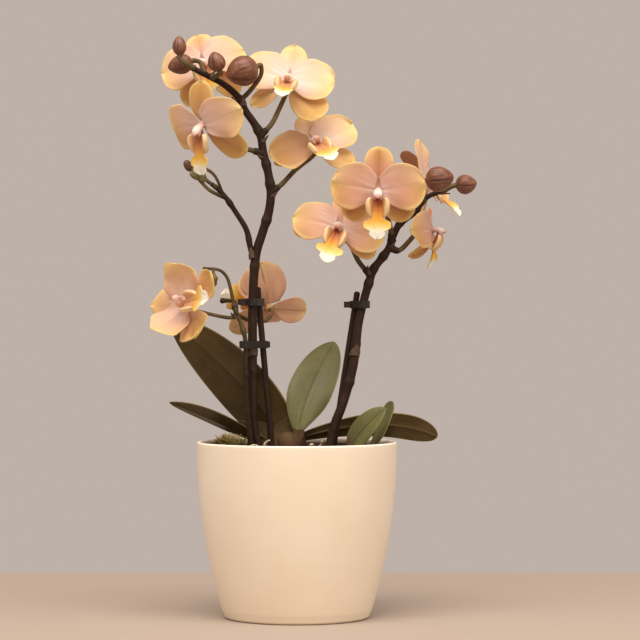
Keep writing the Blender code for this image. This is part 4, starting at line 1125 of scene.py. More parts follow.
def stem_rind():
    """Flower stem: dark purple-brown rind, waxy, with fine lengthwise ribs, olive on the young stalks."""
    finish, tree, shader = new_finish("stem_rind")
    grain = add(tree, "Attribute", attribute_name="grain").outputs["Vector"]
    tone = add(tree, "Attribute", attribute_name="tone").outputs["Fac"]
    ribs = streaked(tree, grain, (1100.0, 1100.0, 70.0), 3.0)
    where = add(tree, "TexCoord").outputs["Object"]
    cloud = add(tree, "TexNoise", {"Vector": where, "Scale": 160.0, "Detail": 4.0})
    mixed = add(tree, "Math", {0: ribs, 1: 0.5, 2: -0.02}, operation="MULTIPLY_ADD")
    mixed = add(tree, "Math", {0: cloud, 1: 0.6, 2: mixed}, operation="MULTIPLY_ADD")
    old = add(tree, "ValToRGB", {0: mixed}, stops=[(0.35, "23160E"), (0.6, "322014"), (0.85, "4C3422")])
    young = add(tree, "ValToRGB", {0: mixed}, stops=[(0.35, "55442A"), (0.6, "726140"), (0.85, "8C7A4E")])
    colour = add(tree, "Mix", {0: tone, 6: old, 7: young}, data_type="RGBA")
    gloss = add(tree, "MapRange", {0: cloud, 1: 0.3, 2: 0.7, 3: 0.5, 4: 0.68})
    ridge = add(tree, "Bump", {"Strength": 0.5, "Distance": 0.00025, "Height": ribs})
    feed(shader, {"Base Color": colour, "Roughness": gloss, "Normal": ridge, "Specular IOR Level": 0.2})
    return finish


STEM_RIND = stem_rind()
# thin dry tissue of the scales: brown, fibrous, with a papery paler edge
DRY_SCALE = plain_finish(
    "dry_scale", [(0.3, "33231A"), (0.6, "5C4632"), (0.8, "8A7452")], 0.65, (0.5, 0.0003), detail=3.0,
    stretch=(16.0, 1.5, 1.0),
)
SCALE_THICKNESS = 0.0005


def scale_leaf(skin, place, along, outward, length, wrap, girth, lift=0.0008):
    """A pointed scale that clasps a stem of this girth. wrap is the angle to either side, in degrees."""
    along, outward = Vector(along).normalized(), Vector(outward).normalized()
    outward = (outward - along * outward.dot(along)).normalized()
    across = along.cross(outward).normalized()

    def point(s, t):
        angle = radians(wrap) * s * (1 - 0.85 * t**1.3)
        reach = girth + 0.0003 + lift * t**1.8
        round_way = outward * cos(angle) + across * sin(angle)
        return Vector(place) + along * (length * t - 0.0008 * s * s) + round_way * reach

    blade(skin, 12, 12, point, lambda s, t: SCALE_THICKNESS * (1 - 0.5 * abs(s)), -1)


def pedicel(number, start, bends, reach=0.007, girth=0.0017, stub=0.0062):
    """The stalk of a bloom, from its joint to the flower's back."""
    route = [start, *bends, back_of(number, reach), back_of(number, -0.001)]
    return stem(route, girth, girth * 0.88, tone=(0.45, 1.0), flare=0.35, swell=0.35, stub=stub)


def bud_stalk(name, start, bends, reach=0.003, girth=0.0016):
    route = [start, *bends, foot_of(name, reach), foot_of(name)]
    return stem(route, girth, girth * 0.85, tone=(0.35, 0.9), flare=0.45, swell=0.25)


def spike(name, node, stems, scales):
    """The stems of one growth as one piece, and its scales as another."""
    stalks = grown(wire(stems), STEM_SKIN, {"Sides": 20, "Finish": STEM_RIND})
    placed(name, stalks, STEM_RIND, "spike_stem", node)
    skin = new_skin()
    for scale in scales:
        scale_leaf(skin, *scale)
    placed(name + "_scales", skin_mesh(skin), DRY_SCALE, "spike_stem")


spike(
    "left_flower_spike", "left_spike",
    [
        stem(
            LEFT_SPIKE, 0.003, 0.0017,
            (
                (0.22, 0.0005), (0.46, 0.0004), (0.57, 0.0006), (0.655, 0.0006), (0.7, 0.0006),
                (0.78, 0.0008), (0.86, 0.0007),
            ),
            hold=4.0,
        ),
        stem(SIDE_BRANCH, 0.002, 0.0015, ((0.28, 0.0003), (0.72, 0.0005)), tone=(-2.5, 0.0), flare=0.4),
        # the branch's end forks, and its stalks meet again in the young buds
        stem(
            [
                (-0.046, -0.0083, 0.2722), (-0.0502, -0.01, 0.2736), (-0.0568, -0.0125, 0.2772),
                (-0.0628, -0.0116, 0.2832),
            ],
            0.0013, 0.0011, tone=(-0.2, 1.0), flare=0.3,
        ),
        stem(
            [
                (-0.048, -0.0087, 0.2748), (-0.0508, -0.008, 0.2822), (-0.0538, -0.0085, 0.2872),
                (-0.0582, -0.01, 0.2902), (-0.0622, -0.0108, 0.2896),
            ],
            0.0009, 0.0011, tone=(-0.1, 1.0), flare=0.3,
        ),
        pedicel(1, (-0.0365, -0.011, 0.3345), [(-0.038, 0.006, 0.3345), (-0.045, 0.02, 0.343)]),
        pedicel(2, (-0.0238, -0.008, 0.312), [(-0.0165, -0.004, 0.32), (-0.0115, 0.006, 0.331)]),
        pedicel(3, (-0.022, -0.007, 0.301), [(-0.03, -0.008, 0.303), (-0.04, -0.013, 0.306)]),
        pedicel(4, (-0.0169, -0.005, 0.276), [(-0.01, -0.002, 0.281), (-0.001, 0.007, 0.291)]),
        bud_stalk(
            "bud_top_large", (-0.0365, -0.011, 0.3345), [(-0.0295, -0.014, 0.3415), (-0.0232, -0.018, 0.35)]
        ),
        bud_stalk("bud_top_middle", (-0.0546, -0.014, 0.349), [], 0.002),
        bud_stalk("bud_top_left", (-0.0591, -0.015, 0.3512), [(-0.062, -0.01, 0.359)], 0.002),
        bud_stalk("bud_top", (-0.066, -0.0165, 0.3548), [], 0.003),
        bud_stalk("bud_side_branch", (-0.052, -0.0095, 0.2786), [], 0.002, 0.0013),
    ],
    [
        ((-0.056, -0.0135, 0.3488), (0.8, 0, 0.6), (-0.4, -0.5, 0.8), 0.0095, 75, 0.0016),
        ((-0.0288, -0.0025, 0.233), (-0.3, 0, 1), (0.2, -1, 0), 0.007, 80, 0.0022),
        ((-0.0289, 0.0, 0.17), (0, 0, 1), (0.5, -1, 0), 0.0065, 100, 0.003),
        ((-0.0172, -0.005, 0.2735), (0.4, 0, 1), (1, -0.3, 0), 0.0055, 70, 0.0028),
        ((-0.0232, -0.0078, 0.3085), (0.3, 0, 1), (1, -0.4, 0), 0.0055, 70, 0.0026),
        ((-0.0214, -0.0068, 0.2985), (-0.5, 0, 1), (-1, -0.3, 0), 0.005, 70, 0.0026),
        ((-0.035, -0.0105, 0.3312), (-0.2, 0, 1), (0.4, -1, 0.2), 0.0055, 70, 0.0024),
    ],
)

spike(
    "low_flower_spike", "low_spike",
    [
        stem(
            LOW_SPIKE, 0.0021, 0.0009, ((0.42, 0.0005), (0.62, 0.0006), (0.72, 0.0005)), tone=(-1.3, 0.5),
            round_end=True,
        ),
        pedicel(9, (-0.0385, -0.008, 0.1965), [(-0.045, -0.009, 0.1946)], 0.005, 0.00125, 0.003),
        pedicel(
            10, (-0.04, -0.0085, 0.201),
            [(-0.0385, 0.001, 0.1965), (-0.03, 0.011, 0.1925), (-0.02, 0.0145, 0.193)], 0.004, 0.0013, 0.003,
        ),
        # a dry bud that never opened, and a withered flower that hangs from the arch
        stem(
            [(-0.0411, -0.009, 0.2052), (-0.0455, -0.0095, 0.2056), (-0.0498, -0.01, 0.2052)], 0.001, 0.0016,
            ((0.92, 0.0004),), round_end=True,
        ),
        stem(
            [
                (-0.0536, -0.0116, 0.2262), (-0.054, -0.0116, 0.2225), (-0.0536, -0.0115, 0.2185),
                (-0.0527, -0.0115, 0.2148),
            ],
            0.0009, 0.0016, ((0.55, 0.0016),), tone=(0.8, 1.0), round_end=True,
        ),
    ],
    [
        ((-0.0405, -0.0086, 0.202), (-0.3, 0, 1), (0.5, -1, 0), 0.0045, 90, 0.0018),
        ((-0.0388, -0.008, 0.1945), (-0.4, 0, 1), (-1, -0.6, 0), 0.0045, 90, 0.0018),
    ],
)

spike(
    "right_flower_spike", "right_spike",
    [
        stem(
            RIGHT_SPIKE, 0.003, 0.0014,
            ((0.28, 0.0006), (0.4, 0.0004), (0.6, 0.0006), (0.65, 0.0005), (0.7, 0.0007), (0.82, 0.0006)),
            hold=3.0,
        ),
        pedicel(5, (0.0614, -0.008, 0.244), [(0.06, -0.013, 0.254)]),
        pedicel(6, (0.048, -0.008, 0.2215), [(0.04, -0.005, 0.231), (0.0345, -0.003, 0.242)]),
        pedicel(7, (0.06, -0.008, 0.24), [(0.067, -0.007, 0.2385)], 0.005),
        pedicel(8, (0.078, -0.008, 0.265), [(0.07, 0.005, 0.268), (0.068, 0.022, 0.275)], 0.006),
        bud_stalk("bud_right_large", (0.082, -0.008, 0.27), [(0.079, -0.014, 0.277)], 0.002),
        bud_stalk("bud_right_tip", (0.094, -0.008, 0.276), [], 0.002),
    ],
    [
        ((0.0775, -0.0085, 0.2645), (-0.1, 0, 1), (-1, 0, 0.2), 0.0085, 70, 0.002),
        ((0.0372, -0.008, 0.17), (0.15, 0, 1), (0.2, -1, 0), 0.007, 100, 0.003),
        ((0.0482, -0.008, 0.2225), (0.2, 0, 1), (-1, -0.4, 0), 0.0055, 70, 0.0026),
        ((0.0598, -0.008, 0.24), (0.2, 0, 1), (1, -0.4, 0), 0.0055, 70, 0.0024),
        ((0.093, -0.008, 0.2758), (1, 0, 0.2), (0, -0.4, -1), 0.006, 80, 0.0014),
    ],
)


# Stakes: plain sticks pushed into the bark, one behind each tall spike, stained dark.

STICK_RADIUS, STICK_END = 0.002, 0.0012
# stained wood: nearly black brown, fine grain along it, dull gloss
STAINED_STICK = plain_finish(
    "stained_stick", [(0.3, "1D130D"), (0.55, "2E2017"), (0.8, "463226")], 0.6, (0.4, 0.0002),
    stretch=(1500.0, 1500.0, 45.0), specular=0.2,
)
for name, node, route in (
    ("left_stick", "left_stake", LEFT_STAKE), ("right_stick", "right_stake", RIGHT_STAKE)
):
    low, high = Vector(route[0]), Vector(route[1])
    line = stem([low, low.lerp(high, 0.5), high], STICK_RADIUS, STICK_RADIUS)
    wires = wire([line])
    for girth, point in zip(wires.attributes["girth"].data, wires.vertices):  # the sawn end is rounded off
        left = (high - point.co).length / STICK_END
        girth.value *= min(1.0, 0.45 + 0.55 * sqrt(left)) if left < 1 else 1.0
    stick = grown(wires, STEM_SKIN, {"Sides": 20, "Finish": STAINED_STICK})
    placed(name, stick, STAINED_STICK, "stake", node)


# Clips: small moulded clips that hold spike and stake together, each a band with a flat ear at either side.

# moulded polypropylene: black-brown, half gloss, with fine mould lines
CLIP_PLASTIC = plain_finish(
    "clip_plastic", [(0.35, "150D0A"), (0.75, "2A1C16")], (0.3, 0.5), (0.3, 0.0001), 700.0
)
for node in ("clip_left_upper", "clip_left_lower", "clip_right"):
    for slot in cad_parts[node].material_slots:
        slot.material = CLIP_PLASTIC


# Blooms: three sepals behind two broad petals, all thin and waxy, joined round a small hub. They are peach
# with yellow edges and pink veins, and creamier on the older flowers.

SEPAL = dict(root=0.12, widest=0.61, curl=0.13, cup=-0.1, wave=0.0)
PETAL = dict(root=0.36, widest=0.54, curl=0.06, cup=0.1, wave=0.0004)
TEPALS = {
    "upper_sepal": dict(angle=90, length=0.026, width=0.0185, depth=0.0009, **SEPAL),
    "lower_left": dict(angle=230, length=0.0275, width=0.017, depth=0.0009, **SEPAL),
    "lower_right": dict(angle=310, length=0.0275, width=0.017, depth=0.0021, **SEPAL),
    "left_petal": dict(angle=170, length=0.0285, width=0.031, depth=-0.0006, **PETAL),
    "right_petal": dict(angle=10, length=0.0285, width=0.031, depth=-0.0006, **PETAL),
}
TEPAL_THICKNESS = 0.00062


def bent(length, bend, t):
    """How far out and how far back a strip of this length reaches at t when it bends back evenly."""
    if abs(bend) < 0.001:
        return length * t, 0.0
    turn = 2 * bend
    return length * sin(turn * t) / turn, length * (1 - cos(turn * t)) / turn


def tepal(skin, name, spot, chance):
    """One sepal or petal of a bloom that faces -Y."""
    shape = SimpleNamespace(**TEPALS[name])
    own, usual = getattr(spot, name, ()), (0, 0, 1, 1, 0)
    swing, more, share, reach, twist = (*own, *usual[len(own) :])
    turn = radians(shape.angle + swing)
    outward = Vector((cos(turn), 0, sin(turn)))
    sideways = Vector((-sin(turn), 0, cos(turn)))
    is_petal = shape.wave > 0
    start = chance.uniform(0, 6.28)
    ruffle = spot.ruffle * (0.00075 if is_petal else 0.00045)

    def place(s, t):
        t = 1 - (1 - t) ** 1.4
        half = share * shape.width / 2 * outline(t, shape.root, shape.widest, spot.tip)
        if is_petal:  # a petal's upper margin has a full shoulder near the centre
            full = share * shape.width / 2 * outline(t, 0.56, 0.42, spot.tip)
            half += (full - half) * max(0.0, s * (1 if name == "right_petal" else -1)) ** 0.5
        half *= 1 + spot.ruffle * (0.02 * sin(8 * t + start + 1.5 * s) + 0.012 * sin(19 * t + 2 * start)) * t
        bend = shape.curl + spot.lean + more
        out, back = bent(shape.length * reach, bend, t)
        back += shape.wave * sin(9 * t + 2 * s) * s**2 - shape.cup * half * s**2
        back += ruffle * sin(11 * t + start) * abs(s) ** 3 + ruffle * sin(5 * s + start) * t**4
        back += 0.0004 * exp(-((s / 0.09) ** 2)) * (1 - t)
        notch = 1 - 0.02 * exp(-((s / 0.25) ** 2)) * t**6
        twisted, lean = radians(twist) * min(1, 2.5 * t), 2 * bend * t
        round_way = Vector((0, cos(lean), 0)) - outward * sin(lean)
        across = sideways * cos(twisted) + round_way * sin(twisted)
        flat = outward * (0.001 + (out + 0.001) * notch) + across * (s * half)
        return flat + Vector((0, shape.depth * (0.3 + 0.7 * min(1, 4 * t)) + back, 0))

    def thick(s, t):
        return TEPAL_THICKNESS * (1 - 0.45 * abs(s) ** 3) * (1 - 0.4 * t**4)

    if is_petal:
        blade(skin, 30, 34, place, thick, -1, 1.0)
    else:
        blade(skin, 22, 30, place, thick, -1, 0.0)


def let_through(tree, shader, glow, share):
    """Mixes in light that passes through a thin tissue and takes its colour."""
    passed = add(tree, "BsdfTranslucent", {"Color": glow})
    both = add(tree, "MixShader", {0: share, 1: shader, 2: passed})
    feed(tree.nodes["Material Output"], {"Surface": both})


def petal_tissue():
    """Petal: thin waxy tissue. Peach turns yellow at the edge and pink where the veins gather at the
    centre."""
    finish, tree, shader = new_finish("petal_tissue")
    place = add(tree, "UVMap", uv_map="blade")
    split = add(tree, "SeparateXYZ", {0: place}).outputs
    where = add(tree, "TexCoord").outputs["Object"]
    front, petal, cream, low = (
        add(tree, "Attribute", attribute_name=name).outputs["Fac"]
        for name in ("front", "part", "cream", "low")
    )
    off = add(tree, "Math", {0: split["X"], 1: 0.5}, operation="SUBTRACT")
    off = add(tree, "Math", {0: off}, operation="ABSOLUTE")
    cloud = add(tree, "TexNoise", {"Vector": where, "Scale": 95.0, "Detail": 3.0})
    wander = add(tree, "Math", {0: cloud, 1: 0.3, 2: -0.15}, operation="MULTIPLY_ADD")
    length = add(tree, "Math", {0: split["Y"], 1: wander}, operation="ADD")
    peach, creamy, back = (
        add(tree, "ValToRGB", {0: length}, stops) for stops in (
            [
                (0.00, "FDF0EA"), (0.13, "F6CFC0"), (0.34, "F0C3A2"), (0.6, "EBBE88"), (0.8, "EBC884"),
                (0.95, "F4DC90"),
            ],
            [(0.00, "FFFCF8"), (0.2, "FFF6EC"), (0.42, "FEEACC"), (0.64, "FCE4B0"), (0.88, "FCEEAE")],
            [(0.0, "E6C69A"), (0.35, "F8D2B4"), (0.7, "FADAB4"), (1.0, "FBE3AC")],
        )
    )
    face = add(tree, "Mix", {0: cream, 6: peach, 7: creamy}, data_type="RGBA")
    # the lower half of a flower is painted a deeper olive gold as shade, the upper half of its petals a paler
    # pink as painted light, and its sepals are browner along the middle
    gold = add(tree, "Mix", {0: petal, 6: "D6AE5C", 7: "BE8A48"}, data_type="RGBA")
    lower = add(tree, "MapRange", {0: low, 2: 1.15, 4: 0.8})
    higher = add(tree, "MapRange", {0: low, 1: -0.05, 2: -0.8, 4: 0.42})
    higher = add(tree, "Math", {0: higher, 1: petal}, operation="MULTIPLY")
    centre = add(tree, "MapRange", {0: off, 1: 0.02, 2: 0.34, 3: 0.74, 4: 0.0})
    sepal = add(tree, "Math", {0: 1.0, 1: petal}, operation="SUBTRACT")
    fresh = add(tree, "MapRange", {0: cream, 3: 1.0, 4: 0.25})
    # veins fan out from the base, a millimetre or so apart, and fade towards the edge and with age
    fibres = streaked(tree, place, (22.0, 1.4, 1.0), 2.0)
    thin = add(tree, "MapRange", {0: fibres, 1: 0.42, 2: 0.6, 3: 1.0, 4: 0.0})
    fade = add(tree, "MapRange", {0: length, 1: 0.05, 2: 0.7, 3: 0.42, 4: 0.04})
    faded = add(tree, "MapRange", {0: cream, 3: 1.0, 4: 0.45})
    # the edge is palest, in a narrow line
    near_side = add(tree, "MapRange", {0: off, 1: 0.37, 2: 0.5})
    near_tip = add(tree, "MapRange", {0: split["Y"], 1: 0.78, 2: 0.99})
    rim = add(tree, "Math", {0: near_side, 1: near_tip}, operation="MAXIMUM")
    outer = add(tree, "MapRange", {0: split["Y"], 1: 0.15, 2: 0.5, 3: 0.1, 4: 0.75})
    rim = add(tree, "Math", {0: rim, 1: outer}, operation="MULTIPLY")
    vein = thin
    for share in (fade, faded):
        vein = add(tree, "Math", {0: vein, 1: share}, operation="MULTIPLY")
    for share in (sepal, fresh):
        centre = add(tree, "Math", {0: centre, 1: share}, operation="MULTIPLY")
    for share, coat in (
        (lower, gold), (higher, "FCE0C8"), (centre, "C0804C"), (vein, "DE9A82"), (rim, "FBE9A6")
    ):
        face = add(tree, "Mix", {0: share, 6: face, 7: coat}, data_type="RGBA")
    # the back is duller, with a brown midrib
    mid = add(tree, "MapRange", {0: off, 2: 0.035, 3: 0.7, 4: 0.0})
    for share, coat in ((mid, "9C5F48"), (vein, "C07F68")):
        back = add(tree, "Mix", {0: share, 6: back, 7: coat}, data_type="RGBA")
    # a tepal marked for brown is painted a dull brown all over, as shade
    brown_shade_mask = add(tree, "MapRange", {0: low, 1: 1.3, 2: 2.0, 4: 0.85})
    colour = add(tree, "Mix", {0: front, 6: back, 7: face}, data_type="RGBA")
    colour = add(tree, "Mix", {0: brown_shade_mask, 6: colour, 7: "A86E48"}, data_type="RGBA")
    sparkle = add(tree, "TexNoise", {"Vector": where, "Scale": 1500.0, "Detail": 1.0})
    gloss = add(tree, "MapRange", {0: sparkle, 1: 0.3, 2: 0.7, 3: 0.46, 4: 0.66})
    relief = add(tree, "Bump", {"Strength": 0.18, "Distance": 0.0002, "Height": thin}, invert=True)
    feed(shader, {"Base Color": colour, "Roughness": gloss, "Normal": relief, "Specular IOR Level": 0.35})
    glow = add(tree, "Gamma", {0: colour, 1: 0.7})  # light that has passed through is paler
    let_through(tree, shader, glow, 0.46)
    return finish


PETAL_TISSUE = petal_tissue()


for number, spot in enumerate(BLOOMS, 1):
    chance = random.Random(number)
    skin = new_skin()
    shade_marks = {}
    for name in TEPALS:
        first = len(skin.points)
        tepal(skin, name, spot, chance)
        # tepals listed for gold or brown are painted wholly in that colour, as shade
        if name in spot.gold + spot.brown:
            shade_marks.update((i, 1.15 if name in spot.gold else 2.0) for i in range(first, len(skin.points)))
    neck = [(0, y, 0) for y in (-0.0012, -0.0009, 0.0002, 0.0016, 0.003, 0.0042, 0.0046)]
    wide = [(w, w) for w in (0.0004, 0.0018, 0.0027, 0.0026, 0.0021, 0.0016, 0.0006)]
    body(skin, neck, wide, 20, 0.0)
    mesh = skin_mesh(skin)
    # how far below its centre each point lies, for the painted shade below and painted light above
    low = [min(1.0, -(point.z + 0.001) / 0.014) for point in skin.points]
    low = [shade_marks.get(i, value) for i, value in enumerate(low)]
    mesh.transform(spot.place)
    mark(mesh, "cream", [spot.cream] * len(low))
    mark(mesh, "low", low)
    placed(
        f"sepals_and_petals_{number:02d}", mesh, PETAL_TISSUE, "petal_peach", f"bloom_{number:02d}_tepals"
    )


# Lips: the lip hangs below the column, with two side lobes that curve up beside it and a middle lobe that
# widens to two wings and a pale round tip. The column is the short white-pink stub in the centre, with its
# cap.

LIP_HINGE = (0, -0.0055, -0.004)
MIDDLE_THICKNESS, SIDE_THICKNESS = 0.0011, 0.0007


def middle_lobe(skin, wings):
    """The middle lobe: a narrow claw that widens to two blunt wings, and a round tip below them."""
    spine = [(0, -0.0045, -0.003), (0, -0.006, -0.013), (0, -0.012, -0.021), (0, -0.0115, -0.03)]

    def place(s, t):
        point, direction = bezier(spine, t)
        half = 0.0024 + 0.001 * min(1, t / 0.4) + 0.0054 * wings * exp(-(((t - 0.66) / 0.115) ** 4))
        half += 0.0018 * exp(-(((t - 0.885) / 0.1) ** 2))
        if t > 0.86:
            half *= sqrt(max(0.02, 1 - ((t - 0.86) / 0.145) ** 2))
        forward = direction.cross(Vector((1, 0, 0))).normalized()
        trough = half * 0.3 * s**2 - 0.0004 * exp(-((s / 0.25) ** 2))
        frill = 0.0003 * sin(8 * s + 1.0) * max(0, t - 0.6) / 0.4
        drop = 0.0008 * abs(s) ** 3 * exp(-(((t - 0.68) / 0.12) ** 2))
        return point + Vector((s * half, 0, -drop)) + forward * (trough + frill)

    def thick(s, t):
        return MIDDLE_THICKNESS * (1 - 0.5 * abs(s) ** 3) * (1 - 0.35 * t**3)

    blade(skin, 26, 56, place, thick)


def side_lobe(skin, side):
    """A side lobe: it rises forward from the claw, and its free rim rolls outward in a broad crescent."""

    def place(s, t):
        bow = sqrt(max(0.0, 1 - (0.97 * s) ** 2))
        height = -0.0103 + s * (0.003 + 0.0034 * min(1, t / 0.6))
        inner = 0.0022 + 0.0028 * bow + 0.0016 * max(0, s)
        if t < 0.6:
            g = t / 0.6
            return Vector(
                (side * (0.0014 + (inner - 0.0014) * g), -0.005 - 0.0052 * g * (0.4 + 0.6 * bow), height)
            )
        g = (t - 0.6) / 0.4
        across = inner + 0.0024 * g * (0.15 + 0.85 * bow)
        out = -0.005 - 0.0052 * (0.4 + 0.6 * bow) + 0.002 * g * g - 0.0008 * sin(pi * g)
        return Vector((side * across, out, height))

    blade(skin, 20, 24, place, lambda s, t: SIDE_THICKNESS * (1 - 0.4 * abs(s) ** 3), -side, 0.5)


def column(skin, rod):
    """The column and its cap, with the hollow of the stigma below."""
    spine, widths = [], []
    for j in range(19):
        t = j / 18
        spine.append((0, 0.0004 - 0.0108 * rod * t, -0.0002 - 0.0034 * t**2.4))
        cap = 0.0029 * sqrt(max(0.015, 1 - (max(0, t - 0.62) / 0.385) ** 2))
        neck = 0.0021 + 0.0008 * min(1, t / 0.6)
        widths.append((min(cap, neck) * 1.05 * rod**0.5, min(cap, neck) * 0.9 * rod**0.5))
    body(skin, spine, widths, 28, 1.0, lambda angle, t: 1 - 0.16 * max(0, -sin(angle)) * min(1, 2 * t))
    egg(skin, (0, -0.0098 * rod, -0.0026), (0.0019, 0.0015, 0.0021), 20, 14, 1.0, axis=(0, 1, 0.5))
    for side in (-1, 1):  # the column's small wings
        egg(
            skin, (side * 0.0021, -0.0074 * rod, -0.0034), (0.0007, 0.0012, 0.0021), 14, 10, 1.0,
            axis=(side * 0.15, 0.4, 1),
        )


def lip_tissue():
    """Lip: firm waxy tissue. Red-brown in the throat, then orange and yellow with red stripes, white at the
    tip."""
    finish, tree, shader = new_finish("lip_tissue")
    split = add(tree, "SeparateXYZ", {0: add(tree, "UVMap", uv_map="blade")}).outputs
    where = add(tree, "TexCoord").outputs["Object"]
    part, cream = (add(tree, "Attribute", attribute_name=name).outputs["Fac"] for name in ("part", "cream"))
    cloud = add(tree, "TexNoise", {"Vector": where, "Scale": 260.0, "Detail": 3.0})
    wander = add(tree, "Math", {0: cloud, 1: 0.16, 2: -0.08}, operation="MULTIPLY_ADD")
    length = add(tree, "Math", {0: split["Y"], 1: wander}, operation="ADD")
    colour, side, stalk = (
        add(tree, "ValToRGB", {0: length}, stops) for stops in (
            [
                (0.1, "C4683A"), (0.24, "DA8636"), (0.38, "EFA433"), (0.58, "F8CC52"), (0.72, "FBE694"),
                (0.82, "FFFDF2"),
            ],
            [(0.1, "C87850"), (0.36, "E2A06C"), (0.52, "F0C88C"), (0.68, "F8E2B4")],
            [(0.2, "EFC6BC"), (0.55, "FAE9E2"), (0.85, "FFFAF4")],
        )
    )
    grain = add(tree, "Attribute", attribute_name="grain").outputs["Vector"]
    deep_side = add(tree, "SeparateXYZ", {0: grain}).outputs["Y"]
    below = add(tree, "MapRange", {0: deep_side, 1: -0.0016, 2: 0.0006, 3: 0.6, 4: 0.0})
    stalk = add(tree, "Mix", {0: below, 6: stalk, 7: "CB9580"}, data_type="RGBA")
    is_side = add(tree, "Math", {0: part, 1: 0.3}, operation="GREATER_THAN")
    is_column = add(tree, "Math", {0: part, 1: 0.9}, operation="GREATER_THAN")
    # an aged lip is paler in the throat
    deep = add(tree, "MapRange", {0: length, 1: 0.3, 2: 0.62, 3: 0.42, 4: 0.05})
    aged = add(tree, "Math", {0: cream, 1: deep}, operation="MULTIPLY", use_clamp=True)
    # red stripes run down the lip, and fade below and with age
    lines = add(tree, "Math", {0: split["X"], 1: 14.0}, operation="MULTIPLY")
    lines = add(tree, "Math", {0: lines, 1: 1.0}, operation="PINGPONG")
    stripe = add(tree, "MapRange", {0: lines, 2: 0.5, 3: 1.0, 4: 0.0})
    fade = add(tree, "MapRange", {0: split["Y"], 1: 0.15, 2: 0.6, 3: 0.45, 4: 0.0})
    not_column = add(tree, "Math", {0: 1.0, 1: is_column}, operation="SUBTRACT")
    kept = add(tree, "MapRange", {0: cream, 2: 2.0, 3: 1.0, 4: 0.15})
    for share in (fade, not_column, kept):
        stripe = add(tree, "Math", {0: stripe, 1: share}, operation="MULTIPLY")
    for share, coat in ((is_side, side), (is_column, stalk), (aged, "FBDCB4"), (stripe, "9A3A24")):
        colour = add(tree, "Mix", {0: share, 6: colour, 7: coat}, data_type="RGBA")
    relief = add(tree, "Bump", {"Strength": 0.3, "Distance": 0.0002, "Height": cloud})
    feed(shader, {"Base Color": colour, "Roughness": 0.42, "Normal": relief})
    let_through(tree, shader, colour, 0.38)
    return finish


LIP_TISSUE = lip_tissue()
for number, spot in enumerate(BLOOMS, 1):
    skin = new_skin()
    middle_lobe(skin, spot.wings)
    side_lobe(skin, -1)
    side_lobe(skin, 1)
    hinge = Matrix.Translation(LIP_HINGE)
    swing = hinge @ Matrix.Rotation(radians(-spot.lip), 4, "X") @ hinge.inverted()
    skin.points = [swing @ point for point in skin.points]
    column(skin, spot.rod)
    mesh = skin_mesh(skin)
    mesh.transform(spot.place)
    mark(mesh, "cream", [spot.pale] * len(mesh.vertices))
    placed(f"lip_and_column_{number:02d}", mesh, LIP_TISSUE, "lip_orange", f"bloom_{number:02d}_lip")


# Buds: closed flowers, each an egg of three sepals that meet in seams, brown outside with pale lengthwise
# veins.


def bud_rind():
    """Bud: waxy tissue, brown with pinkish and olive streaks from foot to tip, darker in the seams."""
    finish, tree, shader = new_finish("bud_rind")
    grain = add(tree, "Attribute", attribute_name="grain").outputs["Vector"]
    seam = add(tree, "Attribute", attribute_name="seam").outputs["Fac"]
    streaks = streaked(tree, grain, (620.0, 620.0, 60.0), 3.0)
    where = add(tree, "TexCoord").outputs["Object"]
    cloud = add(tree, "TexNoise", {"Vector": where, "Scale": 190.0, "Detail": 2.0})
    mixed = add(tree, "Math", {0: streaks, 1: 0.75, 2: -0.14}, operation="MULTIPLY_ADD")
    mixed = add(tree, "Math", {0: cloud, 1: 0.5, 2: mixed}, operation="MULTIPLY_ADD")
    tone = add(
        tree, "ValToRGB", {0: mixed},
        stops=[(0.28, "56301F"), (0.48, "764832"), (0.66, "8E5E42"), (0.84, "AA7C58")],
    )
    # young buds are green: marked by their part
    part = add(tree, "Attribute", attribute_name="part").outputs["Fac"]
    young = add(tree, "ValToRGB", {0: mixed}, stops=[(0.3, "514726"), (0.5, "756A3A"), (0.75, "958A54")])
    fresh = add(tree, "Math", {0: part, 1: 2.0}, operation="MULTIPLY", use_clamp=True)
    tone = add(tree, "Mix", {0: fresh, 6: tone, 7: young}, data_type="RGBA")
    colour = add(tree, "Mix", {0: seam, 6: tone, 7: "43241B"}, data_type="RGBA")
    ridge = add(tree, "Bump", {"Strength": 0.5, "Distance": 0.0003, "Height": streaks})
    feed(shader, {"Base Color": colour, "Roughness": 0.45, "Normal": ridge})
    return finish


BUD_RIND = bud_rind()


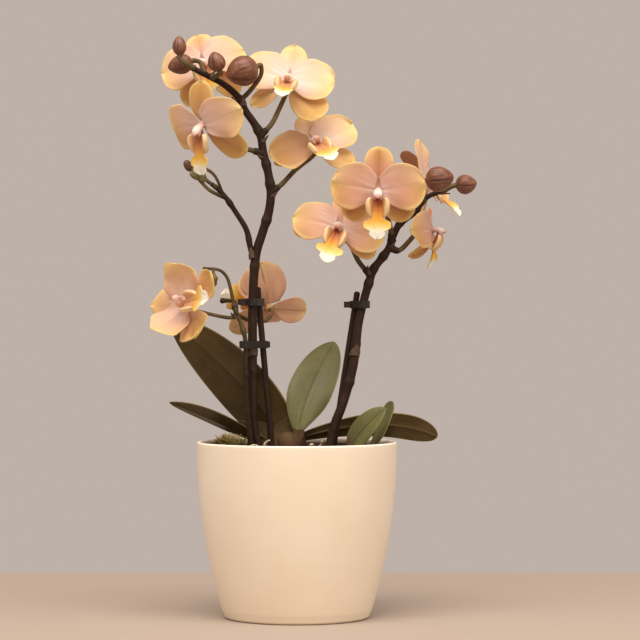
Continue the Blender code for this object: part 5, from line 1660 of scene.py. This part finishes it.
def bud(node, spot, *knobs):
    """An egg with a slight point, three rounded sepals and the seams between them. knobs are smaller buds
    and scales that crowd round it, each a place, an axis and its radii."""
    sides, rings = 126, 40
    skin = new_skin()
    seams = []
    spine, widths = [], []
    for j in range(rings + 1):
        angle = pi * (0.015 + 0.97 * j / rings)
        z = -cos(angle)
        narrow = 1 - 0.18 * z - 0.08 * z * z - 0.12 * max(0, z) ** 6
        spine.append(spot.centre + spot.axis * (spot.length / 2 * z))
        widths.append((spot.width / 2 * sin(angle) * narrow,) * 2)

    def lobed(angle, t):
        turn = 3 * (angle + 0.5 * t)
        near_seam = exp(-((sin(turn / 2) / 0.16) ** 2))
        ribs = 0.009 * cos(21 * angle + 2.0 * t) * sin(pi * t)
        return 1 + 0.03 * (1 - cos(turn)) / 2 - 0.055 * near_seam * min(1, 3 * t) + ribs

    body(skin, spine, widths, sides, 0.5 if knobs else 0.0, lobed)
    for place, axis, radii, age in knobs:
        egg(
            skin, place, radii, 42, 20, age, lambda angle, t: 1 + 0.06 * cos(5 * angle) + 0.04 * sin(9 * t),
            axis,
        )
    mesh = skin_mesh(skin)
    for u, t in skin.uv:
        turn = 3 * (2 * pi * u + 0.5 * t)
        line = 0.2 * (1 - cos(21 * 2 * pi * u + 2.0 * t)) / 2 * sin(pi * t)
        seams.append(line + 0.7 * exp(-((sin(turn / 2) / 0.14) ** 2)) * min(1, 3 * t))
    if knobs:
        seams = [0.75 if age == 0 else 0.4 * seam for seam, age in zip(seams, skin.part)]
    mark(mesh, "seam", seams)
    placed(node.replace("bud_", "closed_bud_"), mesh, BUD_RIND, "bud", node)


for node, spot in BUDS.items():
    if node != "bud_side_branch":
        bud(node, spot)
# the side branch ends in a young green bud among smaller ones, the outermost of them dried up
bud(
    "bud_side_branch", BUDS["bud_side_branch"],
    ((-0.0605, -0.0135, 0.2852), (-0.5, 0, 1), (0.0024, 0.0022, 0.0036), 0.5),
    ((-0.0662, -0.014, 0.2862), (-0.6, -0.1, 0.5), (0.002, 0.002, 0.0034), 0.5),
    ((-0.0642, -0.0128, 0.292), (0.2, 0, 1), (0.0022, 0.002, 0.003), 0.5),
    ((-0.07, -0.011, 0.2926), (-0.6, 0, 1), (0.0028, 0.0026, 0.004), 0.0),
)
